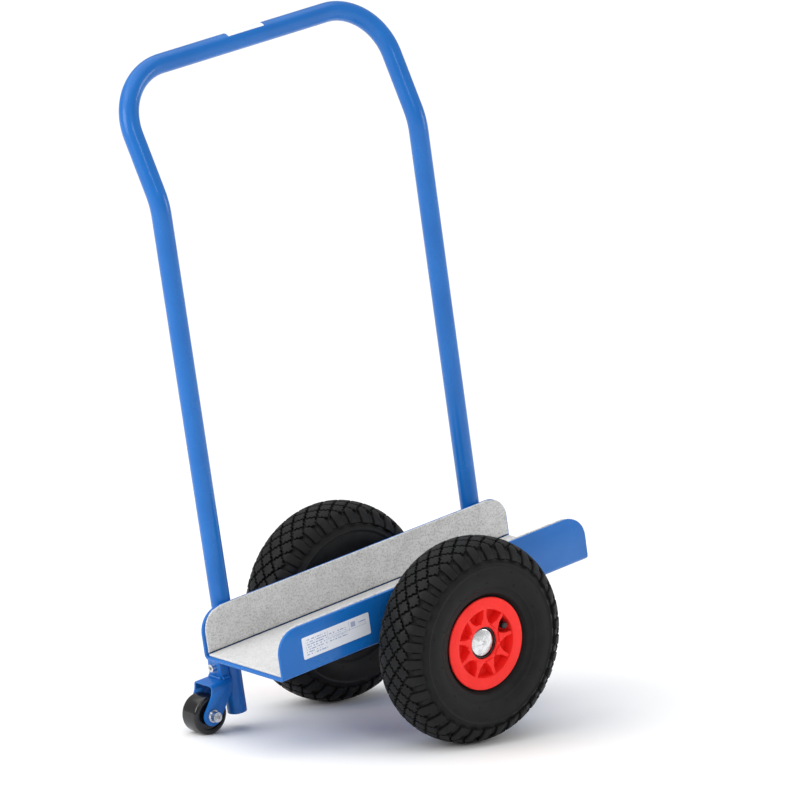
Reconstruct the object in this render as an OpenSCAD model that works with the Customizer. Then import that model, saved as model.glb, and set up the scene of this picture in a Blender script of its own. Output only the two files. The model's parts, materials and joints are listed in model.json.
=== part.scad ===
// Panel truck: a felt-lined steel trough on two air-tyred wheels, steadied by a
// small fixed castor and pushed by a tall bent-tube handle.
//
// Everything is drawn in the trough's own frame (X along the trough, Y across it,
// Z square to its floor, zero at the underside midway along) and then tipped until
// all three wheels stand on the ground at Z = 0.

/* [Trough] */
// Length of the trough
tray_len = 500; // [420:5:640]
// Outside width of the trough
tray_w = 159; // [130:1:200]
// Height of the side flanges above the underside
flange_h = 62; // [52:1:90]
// Thickness of the folded sheet
sheet_t = 4; // [3:0.5:5]
// Outside radius of the two folds
fold_r = 6; // [5.5:0.5:9]
// Radius of the top corners of the flanges
corner_r = 30; // [10:1:40]

/* [Felt lining] */
// Thickness of the felt
felt_t = 3; // [2:0.5:4]
// Distance from the ends of the sheet to the ends of the felt
felt_inset = 3; // [1:0.5:8]
// Open seam between the wall felt and the floor felt
felt_seam = 1.5; // [0.5:0.5:3]
// Gap beside the floor felt, inside the faces of the wall felts
felt_gap = 0.5; // [0.2:0.1:1]

/* [Handle] */
// Outside diameter of the handle tube
tube_d = 25; // [22:0.5:30]
// Wall of the handle tube
tube_wall = 2; // [1.5:0.5:3]
// Distance from the ends of the trough to the axes of the legs
leg_inset = 45; // [35:1:70]
// How far the castor's leg reaches below the trough
leg_tail = 87; // [75:1:110]
// Height of the kink above the underside
kink_h = 575; // [480:5:720]
// Lean of the upper handle away from the load, in degrees
lean = 22; // [10:1:35]
// Length from the kink to the axis of the grip bar
upper_len = 164; // [150:1:230]
// Centre-line radius of the kinks
kink_r = 80; // [60:5:120]
// Centre-line radius of the grip bar's corners
bar_r = 75; // [55:5:90]

/* [Axle] */
// Diameter of the axle
axle_d = 20; // [16:1:25]
// Outside diameter of the axle tube under the trough
housing_d = 30; // [28:1:36]
// Radial clearance of the axle in its tube
housing_fit = 0.1; // [0.05:0.05:0.5]
// Gap between each side of the trough and its tyre
tyre_gap = 13; // [10:1:40]

/* [Main wheels] */
// Diameter over the tread
tyre_d = 260; // [240:5:280]
// Width of the tyre
tyre_w = 85; // [75:1:90]
// Carcass thickness
tyre_wall = 6.5; // [5:0.5:8]
// Fullness of the tyre's section, where 2 is a plain ellipse
tyre_power = 2.3; // [2:0.1:3]
// Diameter of the rim over its flanges
rim_d = 117; // [112:1:122]
// Width of the rim over its flanges
rim_w = 64; // [60:1:68]
// Diameter of the bead seats
seat_d = 101.6; // [99:0.1:104]
// Diameter of the opening inside the rim's face
opening_d = 87; // [82:1:90]
// Number of ribs on each side of the rim
ribs = 9; // [5:1:12]
// Thickness of a rib
rib_t = 4; // [3:0.5:6]
// Depth of the pockets below the rim's face
pocket_depth = 16; // [12:1:20]
// Turn of the first rib from the trough's direction, in degrees
rib_turn = 1; // [0:1:39]
// Diameter of the hub boss
boss_d = 51; // [47:1:54]
// Diameter of the roller track in the hub
race_d = 30; // [28:0.5:32]
// Number of rollers in each hub
rollers = 10; // [8:1:11]
// Radial running clearance of the rollers
roller_fit = 0.05; // [0.02:0.01:0.1]

/* [Castor] */
// Diameter of the castor wheel
castor_d = 50; // [44:1:54]
// Width of the castor wheel
castor_w = 30; // [22:1:34]
// Distance from the leg's axis to the castor's axle
castor_trail = 50; // [46:1:60]
// Depth of the castor's axle below the underside of the trough
castor_drop = 73; // [70:1:90]
// Sheet thickness of the fork
fork_t = 2.5; // [2:0.5:4]
// Outside radius of the fork's two bends
fork_bend_r = 6; // [4.5:0.5:8]
// Radius of the rounded lower end of the fork
fork_end_r = 13; // [10:0.5:16]
// Thickness of the neck bar between the leg and the fork
neck_t = 12; // [6:1:14]

/* [Hidden] */
$fn = 72;

// Colours
paint = [0.10, 0.36, 0.70];
felt_grey = [0.72, 0.72, 0.71];
zinc = [0.78, 0.79, 0.80];
steel = [0.62, 0.63, 0.65];
rubber = [0.13, 0.13, 0.14];
rim_red = [0.90, 0.16, 0.13];
black_plastic = [0.06, 0.06, 0.07];
natural_plastic = [0.85, 0.83, 0.76];
white = [0.95, 0.95, 0.96];

// Trough
fold_inner_r = fold_r - sheet_t;
side_y = tray_w / 2;
wall_y = side_y - sheet_t;
felt_top = sheet_t + felt_t;
film_t = 0.3;
glue_t = 0.02;

// Handle
tube_r = tube_d / 2;
leg_x = tray_len / 2 - leg_inset;
leg_y = side_y + tube_r;
weld_r = 3.5;
weld_share = 0.62;
bend_overlap = 0.2;
bend_swell = 0.05;

// Axle and wheels, measured outwards from the middle of each tyre
track = tray_w + 2 * tyre_gap + tyre_w;
axle_r = axle_d / 2;
axle_drop = housing_d / 2;
wheel_r = tyre_d / 2;
end_play = 0.3;
washer_t = 2;
washer_r = 16;
rim_half = rim_w / 2;
hub_inner = -37.5;
hub_face = 28;
hub_step = 19;
ring_r = 20.5;
ring_t = 2.5;
ring_len = 6.5;
cap_r = 17.5;
cap_wall = 1;
cap_len = 5.7;
outer_washer_at = hub_step + end_play;
cap_at = outer_washer_at + washer_t;
axle_end = cap_at + cap_len - 2 * cap_wall;
inner_washer_at = hub_inner - end_play - washer_t;
housing_half = track / 2 + inner_washer_at;
race_r = race_d / 2;
roller_r = (race_r - axle_r) / 2 - roller_fit;
roller_pitch_r = (race_r + axle_r) / 2;
cage_inner = hub_inner + 2.5;
cage_outer = hub_step - 2;
cage_end = 3;
valve_r = 36;
valve_turn = rib_turn + 180 / ribs;
valve_neck_z = 12;
valve_stem_r = 4.2;
valve_fit = 0.1;
valve_gap = 1.2;
valve_cap_r = 4.8;
valve_cap_at = 26;
valve_cap_len = 5.5;
web_t = 5;
web_top = rim_half - pocket_depth;

// Tyre section
bead_cover = 1;
section_r = wheel_r - (wheel_r - seat_d / 2 + bead_cover) / 2;
section_half_h = wheel_r - section_r;
section_half_w = tyre_w / 2;
tube_gap = 0.5;
tube_skin = 2;
bead_half = 17;
flange_t = 4.5;

// Castor, in the trough's frame
castor_r = castor_d / 2;
castor_x = -leg_x - castor_trail;
castor_play = 0.3;
castor_washer_t = 1;
fork_half = castor_w / 2 + castor_play + castor_washer_t;
fork_top = -34.5;
fork_front = castor_x + 4.5;
fork_back = -leg_x - tube_r - 1;
neck_front = -leg_x - tube_r - neck_t;
neck_top = -2;
neck_half = tube_r;
bolt_r = 4;
bolt_head_r = 6.5;
bolt_head_h = 8;
bolt_washer_r = 8;
bolt_washer_t = 1.6;
nut_flats = 13;
nut_h = 8;
sleeve_r = 5.95;
bush_fit = 0.05;
bush_wall = 2;
screw_z = -20;
screw_r = 3;
screw_head_r = 5;
screw_head_h = 6;
screw_len = neck_t + tube_d + 9;
screw_nut_flats = 10;
screw_nut_h = 5;
hole_clearance = 0.3;

// Tilt that puts the castor and both main wheels on the ground
castor_below_axle = castor_drop - axle_drop;
castor_span = norm([castor_x, castor_below_axle]);
tilt = asin((wheel_r - castor_r) / castor_span) - atan2(castor_below_axle, -castor_x);

// Furthest points along the ground, measured from the axle, to centre the origin
bar_sag = norm([cos(tilt), sin(tilt) * cos(lean)]);
bar_low = axle_drop + kink_h + (upper_len - bar_r) * cos(lean);
reach_handle = (leg_x - bar_r) * cos(tilt) + bar_low * sin(tilt) + bar_r * bar_sag + tube_r;
reach_castor = -castor_x * cos(tilt) - castor_below_axle * sin(tilt) + castor_r;
reach_back = max(reach_handle, reach_castor, wheel_r);
reach_front = max(tray_len / 2 * cos(tilt) - axle_drop * sin(tilt), wheel_r);
axle_x = (reach_back - reach_front) / 2;

// Puts the trough's frame on the ground, tipped, with the origin under its middle
module standing() {
    translate([axle_x, 0, wheel_r]) rotate([0, -tilt, 0]) translate([0, 0, axle_drop]) children();
}

// Frame of one main wheel: local Z points outwards, local X along the trough
module wheel_frame(side) {
    standing() translate([0, side * track / 2, -axle_drop]) rotate([-side * 90, 0, 0])
        mirror([0, side > 0 ? 1 : 0, 0]) children();
}

// Frame of the castor's axle: local Z points towards the near side
module castor_frame() {
    standing() translate([castor_x, leg_y, -castor_drop]) rotate([90, 0, 0]) children();
}

module ring(outer_r, inner_r, from, to) {
    translate([0, 0, from]) difference() {
        cylinder(r = outer_r, h = to - from);
        translate([0, 0, -1]) cylinder(r = inner_r, h = to - from + 2);
    }
}

// Both wheels' copies of a piece that stays with the frame
module both_sides() {
    for (side = [-1, 1]) wheel_frame(side) children();
}

function hex_r(flats) = flats / 2 / cos(30);
function tangent_point(p, c, r, turn) =
    let (d = norm(p - c), a = atan2(p.y - c.y, p.x - c.x) + turn * acos(r / d))
    c + r * [cos(a), sin(a)];

// ---------------------------------------------------------------- trough

module channel_section() {
    difference() {
        rounded_u(side_y, 0, fold_r);
        rounded_u(wall_y, sheet_t, fold_inner_r);
    }
}

// A square-topped outline with its two lower corners rounded
module rounded_u(half, bottom, r) {
    top = flange_h + bottom;
    translate([-half, bottom + r]) square([2 * half, top - bottom - r]);
    translate([-half + r, bottom]) square([2 * (half - r), r + 1]);
    for (s = [-1, 1]) translate([s * (half - r), bottom + r]) circle(r);
}

// What is cut from a flange's top corner at both ends, length 2 * half
module corner_cuts(half, top, r) {
    for (s = [-1, 1]) translate([s * (half - r), 0, top - r]) mirror([s < 0 ? 1 : 0, 0, 0])
        rotate([90, 0, 0]) translate([0, 0, -tray_w]) difference() {
            cube([r + 1, r + 1, 2 * tray_w]);
            translate([0, 0, -1]) cylinder(r = r, h = 2 * tray_w + 2);
        }
}

module tray() {
    color(paint) standing() difference() {
        translate([-tray_len / 2, 0, 0]) rotate([90, 0, 90]) linear_extrude(tray_len)
            intersection() {
                channel_section();
                translate([-tray_w, 0]) square([2 * tray_w, flange_h]);
            }
        corner_cuts(tray_len / 2, flange_h, corner_r);
    }
}

module floor_felt() {
    half = wall_y - max(fold_inner_r, felt_t) - felt_gap;
    length = tray_len - 2 * felt_inset;
    color(felt_grey) standing()
        translate([-length / 2, -half, sheet_t]) cube([length, 2 * half, felt_t]);
}

module wall_felt(side) {
    bottom = felt_top + felt_seam;
    length = tray_len - 2 * felt_inset;
    y = side > 0 ? wall_y - felt_t : -wall_y;
    color(felt_grey) standing() difference() {
        translate([-length / 2, y, bottom]) cube([length, felt_t, flange_h - bottom]);
        corner_cuts(length / 2, flange_h, corner_r - felt_inset / 2);
    }
}

module rating_label() {
    length = 106;
    height = 28;
    from_end = 36;
    rise = 1;
    color(white) standing()
        translate([-tray_len / 2 + from_end, -side_y - film_t, (flange_h - height) / 2 + rise])
            cube([length, film_t, height]);
}

// ---------------------------------------------------------------- handle

// One straight length of tube; what follows it starts at its far end
module then_straight(length) {
    translate([0, 0, -bend_overlap]) difference() {
        cylinder(r = tube_r, h = length + 2 * bend_overlap);
        translate([0, 0, -1]) cylinder(r = tube_r - tube_wall, h = length + 2);
    }
    translate([0, 0, length]) children();
}

// One bend in the tube, turning from local Z towards a direction around it. Its wall
// is a hair thicker both ways, so that the straight lengths end inside it.
module then_bend(radius, angle, towards) {
    rotate([0, 0, towards]) {
        translate([radius, 0, 0]) rotate([90, 0, 180]) rotate_extrude(angle = angle)
            translate([radius, 0]) difference() {
                circle(tube_r + bend_swell);
                circle(tube_r - tube_wall - bend_swell);
            }
        translate([radius * (1 - cos(angle)), 0, radius * sin(angle)])
            rotate([0, angle, 0]) rotate([0, 0, -towards]) children();
    }
}

// One bent tube, followed from the castor's leg up, over the grip and down again
module handle_tube() {
    kink_leg = kink_r * tan(lean / 2);
    upper = upper_len - kink_leg - bar_r;
    color(paint) standing() difference() {
        translate([-leg_x, leg_y, -leg_tail])
            then_straight(leg_tail + kink_h - kink_leg)
            then_bend(kink_r, lean, 90)
            then_straight(upper)
            then_bend(bar_r, 90, 0)
            then_straight(2 * (leg_x - bar_r))
            then_bend(bar_r, 90, 0)
            then_straight(upper)
            then_bend(kink_r, lean, 90)
            then_straight(kink_h - kink_leg);
        screw_path(screw_r + hole_clearance, tube_d + neck_t);
    }
}

// The neck screw's line, from the front of the neck towards +X
module screw_path(r, length) {
    translate([neck_front, leg_y, screw_z]) rotate([0, 90, 0]) cylinder(r = r, h = length);
}

// Beads in the corners between each leg and the outside of the flange
module handle_welds() {
    from_fold = 8;
    from_edge = 6;
    reach = tube_r * weld_share;
    color(paint) standing() difference() {
        for (x = [-leg_x, leg_x], s = [-1, 1])
            translate([x + s * reach, side_y + 1, from_fold])
                cylinder(r = weld_r, h = flange_h - from_edge - from_fold);
        for (x = [-leg_x, leg_x])
            translate([x, leg_y, 0]) cylinder(r = tube_r, h = flange_h);
        translate([-tray_len / 2, side_y - 2 * weld_r, 0])
            cube([tray_len, 2 * weld_r, flange_h]);
    }
}

module grip_label() {
    length = 56;
    spread = 40;
    color(white) standing() translate([0, leg_y, kink_h]) rotate([-lean, 0, 0])
        translate([-length / 2, 0, upper_len]) rotate([90, 0, 90]) rotate([0, 0, 90 + lean - spread])
            rotate_extrude(angle = 2 * spread) translate([tube_r + glue_t, 0]) square([film_t, length]);
}

// ---------------------------------------------------------------- axle

module axle_tube() {
    color(paint) standing() translate([0, 0, -axle_drop]) rotate([90, 0, 0])
        ring(housing_d / 2, axle_r + housing_fit, -housing_half, housing_half);
}

// Stitch beads along both sides of the axle tube, under the trough
module axle_tube_welds() {
    stitch = 34;
    inset = 0.8 * stitch;
    reach = housing_d / 2 * weld_share;
    color(paint) standing() difference() {
        for (s = [-1, 1], y = [-1, 0, 1])
            translate([s * reach, y * (side_y - inset) + stitch / 2, -1])
                rotate([90, 0, 0]) cylinder(r = weld_r, h = stitch);
        translate([0, tray_w / 2, -axle_drop]) rotate([90, 0, 0])
            cylinder(r = housing_d / 2, h = tray_w);
        translate([-housing_d, -tray_w / 2, 0]) cube([2 * housing_d, tray_w, 2 * weld_r]);
    }
}

module axle() {
    half = track / 2 + axle_end;
    color(steel) standing() translate([0, half, -axle_drop]) rotate([90, 0, 0])
        cylinder(r = axle_r, h = 2 * half);
}

module inner_washers() {
    color(zinc) both_sides()
        ring(washer_r, axle_r + roller_fit, inner_washer_at, inner_washer_at + washer_t);
}

module outer_washers() {
    color(zinc) both_sides()
        ring(washer_r, axle_r + roller_fit, outer_washer_at, outer_washer_at + washer_t);
}

// A pressed cap over the axle's end: gripping washer, skirt and closed face
module axle_caps() {
    color(zinc) both_sides() {
        ring(cap_r, cap_r - cap_wall, cap_at, cap_at + cap_len - cap_wall);
        ring(cap_r, axle_r, cap_at, cap_at + cap_wall);
        translate([0, 0, cap_at + cap_len - cap_wall]) cylinder(r = cap_r, h = cap_wall);
    }
}

// ---------------------------------------------------------------- main wheels

function section_points(half_h, half_w, steps) = [
    for (i = [0 : steps - 1])
        let (a = 360 * i / steps, c = cos(a), s = sin(a))
        [section_r + half_h * sign(s) * pow(abs(s), 2 / tyre_power),
         half_w * sign(c) * pow(abs(c), 2 / tyre_power)]
];

module tyre() {
    steps = 40;
    flange_fit = 0.5;
    bead_h = 8;
    foot_r = rim_d / 2 + flange_fit;
    opening_r = section_r - section_half_h + tyre_wall + bead_h;
    bead_w = rim_half - flange_t;
    color(rubber) rotate_extrude() difference() {
        polygon(section_points(section_half_h, section_half_w, steps));
        polygon(section_points(section_half_h - tyre_wall, section_half_w - tyre_wall, steps));
        translate([0, -tyre_w]) square([seat_d / 2, 2 * tyre_w]);
        translate([0, -bead_half]) square([opening_r, 2 * bead_half]);
        for (s = [0, 1]) mirror([0, s]) translate([0, bead_w]) square([foot_r, tyre_w]);
    }
}

module inner_tube() {
    steps = 36;
    outer = tyre_wall + tube_gap;
    inner = outer + tube_skin;
    color(rubber) difference() {
        rotate_extrude() difference() {
            polygon(section_points(section_half_h - outer, section_half_w - outer, steps));
            polygon(section_points(section_half_h - inner, section_half_w - inner, steps));
        }
        valve_neck(valve_stem_r + valve_fit);
    }
}

// One moulded rim: flanged barrel, hub, web and ribs on both sides
module rim() {
    open_r = opening_d / 2;
    seat_r = seat_d / 2;
    well_wall = 3;
    well_r = open_r + well_wall;
    well_half = 12;
    lip = 0.8;
    lip_t = 2.5;
    slope = 0.6;
    rib_sink = 2;
    rib_top = rim_half - rib_sink;
    color(rim_red) difference() {
        union() {
            rotate_extrude() polygon([
                [open_r, rim_half], [rim_d / 2 - lip, rim_half], [rim_d / 2, rim_half - lip],
                [rim_d / 2, rim_half - lip_t], [seat_r + lip, rim_half - flange_t + slope],
                [seat_r, rim_half - flange_t], [seat_r, bead_half], [well_r, well_half],
                [well_r, -well_half], [seat_r, -bead_half], [seat_r, -rim_half + flange_t],
                [seat_r + lip, -rim_half + flange_t - slope], [rim_d / 2, -rim_half + lip_t],
                [rim_d / 2, -rim_half + lip], [rim_d / 2 - lip, -rim_half], [open_r, -rim_half]
            ]);
            translate([0, 0, hub_inner]) cylinder(r = boss_d / 2, h = hub_face - hub_inner);
            translate([0, 0, web_top - web_t]) cylinder(r = open_r + 1, h = web_t);
            for (i = [0 : ribs - 1]) rotate([0, 0, rib_turn + 360 / ribs * i])
                translate([0, 0, -rib_top]) linear_extrude(2 * rib_top) rib_outline(open_r + 1);
        }
        translate([0, 0, hub_inner - 1]) cylinder(r = race_r, h = hub_face - hub_inner + 2);
        translate([0, 0, hub_step]) cylinder(r = ring_r, h = hub_face);
        valve_neck(valve_stem_r + valve_fit);
        rotate([0, 0, valve_turn]) translate([valve_r, 0, web_top - web_t - 1])
            cylinder(r = valve_stem_r + valve_gap, h = web_t + 2);
    }
}

// A rib seen from outside: narrow at the barrel, flared where it meets the hub
module rib_outline(to_r) {
    root_sink = 2;
    waist_at = 0.45;
    root_r = boss_d / 2 - root_sink;
    waist_r = root_r + (to_r - root_r) * waist_at;
    waist = rib_t * 0.6;
    flare = rib_t * 1.6;
    polygon([
        [root_r, -flare], [waist_r, -waist], [to_r, -rib_t / 2],
        [to_r, rib_t / 2], [waist_r, waist], [root_r, flare]
    ]);
}

// Caged rollers that run on the axle
module bearing_cage() {
    bar = (race_r - axle_r) * 0.22;
    pocket_fit = 0.1;
    race_gap = 0.3;
    axle_gap = 0.4;
    color(natural_plastic) difference() {
        union() {
            ring(roller_pitch_r + bar, roller_pitch_r - bar, cage_inner, cage_outer);
            for (z = [cage_inner, cage_outer - cage_end])
                ring(race_r - race_gap, axle_r + axle_gap, z, z + cage_end);
        }
        for (i = [0 : rollers - 1]) rotate([0, 0, 360 / rollers * i])
            translate([roller_pitch_r, 0, cage_inner + cage_end - pocket_fit])
                cylinder(r = roller_r + pocket_fit,
                    h = cage_outer - cage_inner - 2 * (cage_end - pocket_fit));
    }
}

module hub_rollers() {
    color(steel) for (i = [0 : rollers - 1]) rotate([0, 0, 360 / rollers * i])
        translate([roller_pitch_r, 0, cage_inner + cage_end])
            cylinder(r = roller_r, h = cage_outer - cage_inner - 2 * cage_end);
}

module hub_ring() {
    color(black_plastic) ring(ring_r, ring_r - ring_t, hub_step, hub_step + ring_len);
}

// Rubber valve: a neck through the barrel, turned outwards in one pocket
module valve_neck(r) {
    to_r = section_r - section_half_h + tyre_wall + tube_gap + tube_skin / 2;
    rotate([0, 0, valve_turn]) translate([valve_r, 0, valve_neck_z]) rotate([0, 90, 0])
        cylinder(r = r, h = to_r - valve_r);
}

module valve_stem() {
    color(black_plastic) {
        valve_neck(valve_stem_r);
        rotate([0, 0, valve_turn]) translate([valve_r, 0, valve_neck_z]) {
            sphere(r = valve_stem_r);
            cylinder(r = valve_stem_r, h = valve_cap_at - valve_neck_z);
        }
    }
}

module valve_cap() {
    color(black_plastic) rotate([0, 0, valve_turn]) translate([valve_r, 0, valve_cap_at])
        cylinder(r = valve_cap_r, h = valve_cap_len);
}

module near_tyre() { wheel_frame(-1) tyre(); }
module near_inner_tube() { wheel_frame(-1) inner_tube(); }
module near_rim() { wheel_frame(-1) rim(); }
module near_bearing_cage() { wheel_frame(-1) bearing_cage(); }
module near_rollers() { wheel_frame(-1) hub_rollers(); }
module near_hub_ring() { wheel_frame(-1) hub_ring(); }
module near_valve_stem() { wheel_frame(-1) valve_stem(); }
module near_valve_cap() { wheel_frame(-1) valve_cap(); }
module far_tyre() { wheel_frame(1) tyre(); }
module far_inner_tube() { wheel_frame(1) inner_tube(); }
module far_rim() { wheel_frame(1) rim(); }
module far_bearing_cage() { wheel_frame(1) bearing_cage(); }
module far_rollers() { wheel_frame(1) hub_rollers(); }
module far_hub_ring() { wheel_frame(1) hub_ring(); }
module far_valve_stem() { wheel_frame(1) valve_stem(); }
module far_valve_cap() { wheel_frame(1) valve_cap(); }

// ---------------------------------------------------------------- castor

// Side view of a fork cheek in X and Z: flat top, curved front, rounded end
module cheek_outline() {
    front_h = 11.5;
    back_h = 15.5;
    back_slope = 2.5;
    hub = [castor_x, -castor_drop];
    front_top = [fork_front, fork_top];
    front_bend = [fork_front, fork_top - front_h];
    back_bend = [fork_back - back_slope, fork_top - back_h];
    front_end = tangent_point(front_bend, hub, fork_end_r, 1);
    back_end = tangent_point(back_bend, hub, fork_end_r, -1);
    polygon([[fork_back, fork_top], front_top, front_bend, front_end, hub, back_end, back_bend]);
    translate(hub) circle(fork_end_r);
    bend_fill(front_bend, front_end);
}

// Fills the bend where an upright front edge turns forwards, with a hollow curve
module bend_fill(corner, end) {
    fill_r = 22;
    slope = atan2(corner.x - end.x, corner.y - end.y);
    leg = fill_r * tan(slope / 2);
    centre = corner + [-fill_r, leg];
    down = (end - corner) / norm(end - corner);
    difference() {
        polygon([corner, corner + [0, leg], centre, corner + leg * down]);
        translate(centre) circle(fill_r);
    }
}

// What lies under one face of the fork's bent strip, as a long bar along X. It ends
// well below the cheeks.
module under_strip(half, top, r, length) {
    depth = top + castor_drop + 2 * fork_end_r;
    translate([castor_x - length / 2, leg_y, top]) rotate([90, 0, 90]) linear_extrude(length) {
        translate([-half, -depth]) square([2 * half, depth - r]);
        translate([r - half, -depth]) square([2 * (half - r), depth]);
        for (s = [-1, 1]) translate([s * (half - r), -r]) circle(r);
    }
}

module under_fork() {
    under_strip(fork_half + fork_t, fork_top, fork_bend_r, 4 * castor_d);
}

// One strip bent into a crown and two cheeks
module castor_fork() {
    color(paint) standing() difference() {
        intersection() {
            translate([0, leg_y + 2 * castor_w, 0]) rotate([90, 0, 0])
                linear_extrude(4 * castor_w) cheek_outline();
            under_fork();
        }
        under_strip(fork_half, fork_top - fork_t, fork_bend_r - fork_t, 5 * castor_d);
        translate([castor_x, leg_y + 2 * castor_w, -castor_drop]) rotate([90, 0, 0])
            cylinder(r = bolt_r + hole_clearance, h = 4 * castor_w);
    }
}

module castor_neck() {
    color(paint) standing() difference() {
        translate([neck_front, leg_y - neck_half, fork_top])
            cube([neck_t, 2 * neck_half, neck_top - fork_top]);
        translate([-1, 0, 0]) screw_path(screw_r + hole_clearance, neck_t + 2);
    }
}

// Bead along the front of the neck's foot and a short one at each side of it
module castor_weld() {
    past = 20;
    rise = 1;
    color(paint) standing() difference() {
        union() {
            translate([neck_front - 1, leg_y + neck_half, fork_top + rise]) rotate([90, 0, 0])
                cylinder(r = weld_r, h = 2 * neck_half);
            for (s = [-1, 1]) translate([neck_front, leg_y + s * neck_half, fork_top + rise])
                rotate([0, 90, 0]) cylinder(r = weld_r - 1, h = neck_t - 1);
        }
        translate([neck_front, leg_y - neck_half, fork_top]) cube([neck_t, 2 * neck_half, past]);
        under_fork();
    }
}

// Socket screw with its head at local Z = 0, shank towards local -Z
module socket_screw(head_r, head_h, shank_r, length) {
    socket = 1.5 * shank_r;
    difference() {
        union() {
            cylinder(r = head_r, h = head_h);
            translate([0, 0, -length]) cylinder(r = shank_r, h = length + 1);
        }
        translate([0, 0, head_h / 2]) cylinder(r = hex_r(socket), h = head_h, $fn = 6);
    }
}

module hex_nut(flats, height, bore_r) {
    difference() {
        cylinder(r = hex_r(flats), h = height, $fn = 6);
        translate([0, 0, -1]) cylinder(r = bore_r, h = height + 2);
    }
}

module neck_screw() {
    color(zinc) standing() translate([neck_front, leg_y, screw_z]) rotate([0, -90, 0])
        socket_screw(screw_head_r, screw_head_h, screw_r, screw_len);
}

module neck_nut() {
    color(zinc) standing() translate([-leg_x + tube_r, leg_y, screw_z]) rotate([0, 90, 0])
        hex_nut(screw_nut_flats, screw_nut_h, screw_r + bush_fit);
}

module castor_bolt() {
    past_nut = 2;
    grip = 2 * (fork_half + fork_t) + bolt_washer_t;
    color(zinc) castor_frame() translate([0, 0, fork_half + fork_t + bolt_washer_t])
        socket_screw(bolt_head_r, bolt_head_h, bolt_r, grip + nut_h + past_nut);
}

module castor_nut() {
    color(zinc) castor_frame() translate([0, 0, -fork_half - fork_t - nut_h])
        hex_nut(nut_flats, nut_h, bolt_r + bush_fit);
}

// Two thrust washers inside the fork and one under the bolt's head
module castor_washers() {
    outside = fork_half + fork_t;
    color(zinc) castor_frame() {
        ring(bolt_washer_r, bolt_r + bush_fit, fork_half - castor_washer_t, fork_half);
        ring(bolt_washer_r, bolt_r + bush_fit, -fork_half, -fork_half + castor_washer_t);
        ring(bolt_washer_r, bolt_r + bush_fit, outside, outside + bolt_washer_t);
    }
}

module castor_sleeve() {
    half = fork_half - castor_washer_t;
    color(steel) castor_frame() ring(sleeve_r, bolt_r + bush_fit, -half, half);
}

module castor_bush() {
    color(natural_plastic) castor_frame()
        ring(sleeve_r + bush_fit + bush_wall, sleeve_r + bush_fit, -castor_w / 2, castor_w / 2);
}

module castor_wheel() {
    shoulder = 4;
    rim_t = 6;
    recess_r = castor_r - rim_t;
    recess = 3;
    hub_r = sleeve_r + bush_fit + bush_wall;
    collar_t = 3;
    collar_r = hub_r + collar_t;
    half = castor_w / 2;
    color(black_plastic) castor_frame() rotate_extrude() difference() {
        union() {
            translate([hub_r, -half]) square([castor_r - shoulder - hub_r, castor_w]);
            translate([hub_r, -half + shoulder])
                square([castor_r - hub_r, castor_w - 2 * shoulder]);
            for (s = [-1, 1]) translate([castor_r - shoulder, s * (half - shoulder)])
                circle(shoulder);
        }
        for (s = [0, 1]) mirror([0, s]) translate([collar_r, half - recess])
            square([recess_r - collar_r, recess + 1]);
    }
}

tray();
floor_felt();
wall_felt(1);  // far_wall_felt
wall_felt(-1);  // near_wall_felt
handle_tube();
handle_welds();
axle_tube();
axle_tube_welds();
axle();
inner_washers();
outer_washers();
axle_caps();
castor_fork();
castor_neck();
castor_weld();
neck_screw();
neck_nut();
castor_bolt();
castor_nut();
castor_washers();
castor_sleeve();
rating_label();
grip_label();
near_tyre();
near_inner_tube();
near_rim();
near_bearing_cage();
near_rollers();
near_hub_ring();
near_valve_stem();
near_valve_cap();
far_tyre();
far_inner_tube();
far_rim();
far_bearing_cage();
far_rollers();
far_hub_ring();
far_valve_stem();
far_valve_cap();
castor_wheel();
castor_bush();
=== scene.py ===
"""The looks of a panel truck: painted steel, needle felt, block-tread tyres and moulded rims.

Every size is in metres. Pieces are drawn in the frame of the trough or of one wheel, and
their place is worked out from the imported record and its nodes.
"""

import json
import logging
import math
from collections.abc import Callable, Iterator
from contextlib import contextmanager
from dataclasses import dataclass
from enum import Enum

import bmesh
import bpy
from mathutils import Matrix, Vector, noise

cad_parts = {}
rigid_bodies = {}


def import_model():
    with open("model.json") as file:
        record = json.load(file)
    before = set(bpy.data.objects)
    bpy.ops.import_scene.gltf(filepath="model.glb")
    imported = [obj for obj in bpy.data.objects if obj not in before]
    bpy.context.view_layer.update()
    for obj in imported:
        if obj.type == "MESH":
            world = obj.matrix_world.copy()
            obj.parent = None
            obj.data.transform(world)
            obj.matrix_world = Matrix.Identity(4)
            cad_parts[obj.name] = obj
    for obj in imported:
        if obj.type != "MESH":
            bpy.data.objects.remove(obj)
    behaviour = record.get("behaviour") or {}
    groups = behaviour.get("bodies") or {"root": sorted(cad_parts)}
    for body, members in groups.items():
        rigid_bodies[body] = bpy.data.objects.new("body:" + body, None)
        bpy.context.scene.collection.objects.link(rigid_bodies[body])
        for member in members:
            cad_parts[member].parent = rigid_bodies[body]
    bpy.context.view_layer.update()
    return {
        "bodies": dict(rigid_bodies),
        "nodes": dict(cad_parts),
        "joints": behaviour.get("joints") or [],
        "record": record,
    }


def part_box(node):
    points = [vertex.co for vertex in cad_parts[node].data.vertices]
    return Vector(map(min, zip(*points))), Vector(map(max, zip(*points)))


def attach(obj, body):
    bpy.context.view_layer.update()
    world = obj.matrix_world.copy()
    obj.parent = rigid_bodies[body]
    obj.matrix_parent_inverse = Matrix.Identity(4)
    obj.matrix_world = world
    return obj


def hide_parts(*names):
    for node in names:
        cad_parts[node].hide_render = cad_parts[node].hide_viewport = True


log = logging.getLogger("panel_truck")
MM = 0.001
SAME_POINT = 1e-6  # points closer than this, in metres, are merged
Colour = tuple[float, float, float]
Point = tuple[float, float]


# ------------------------------------------------------------------ node graphs


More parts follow.
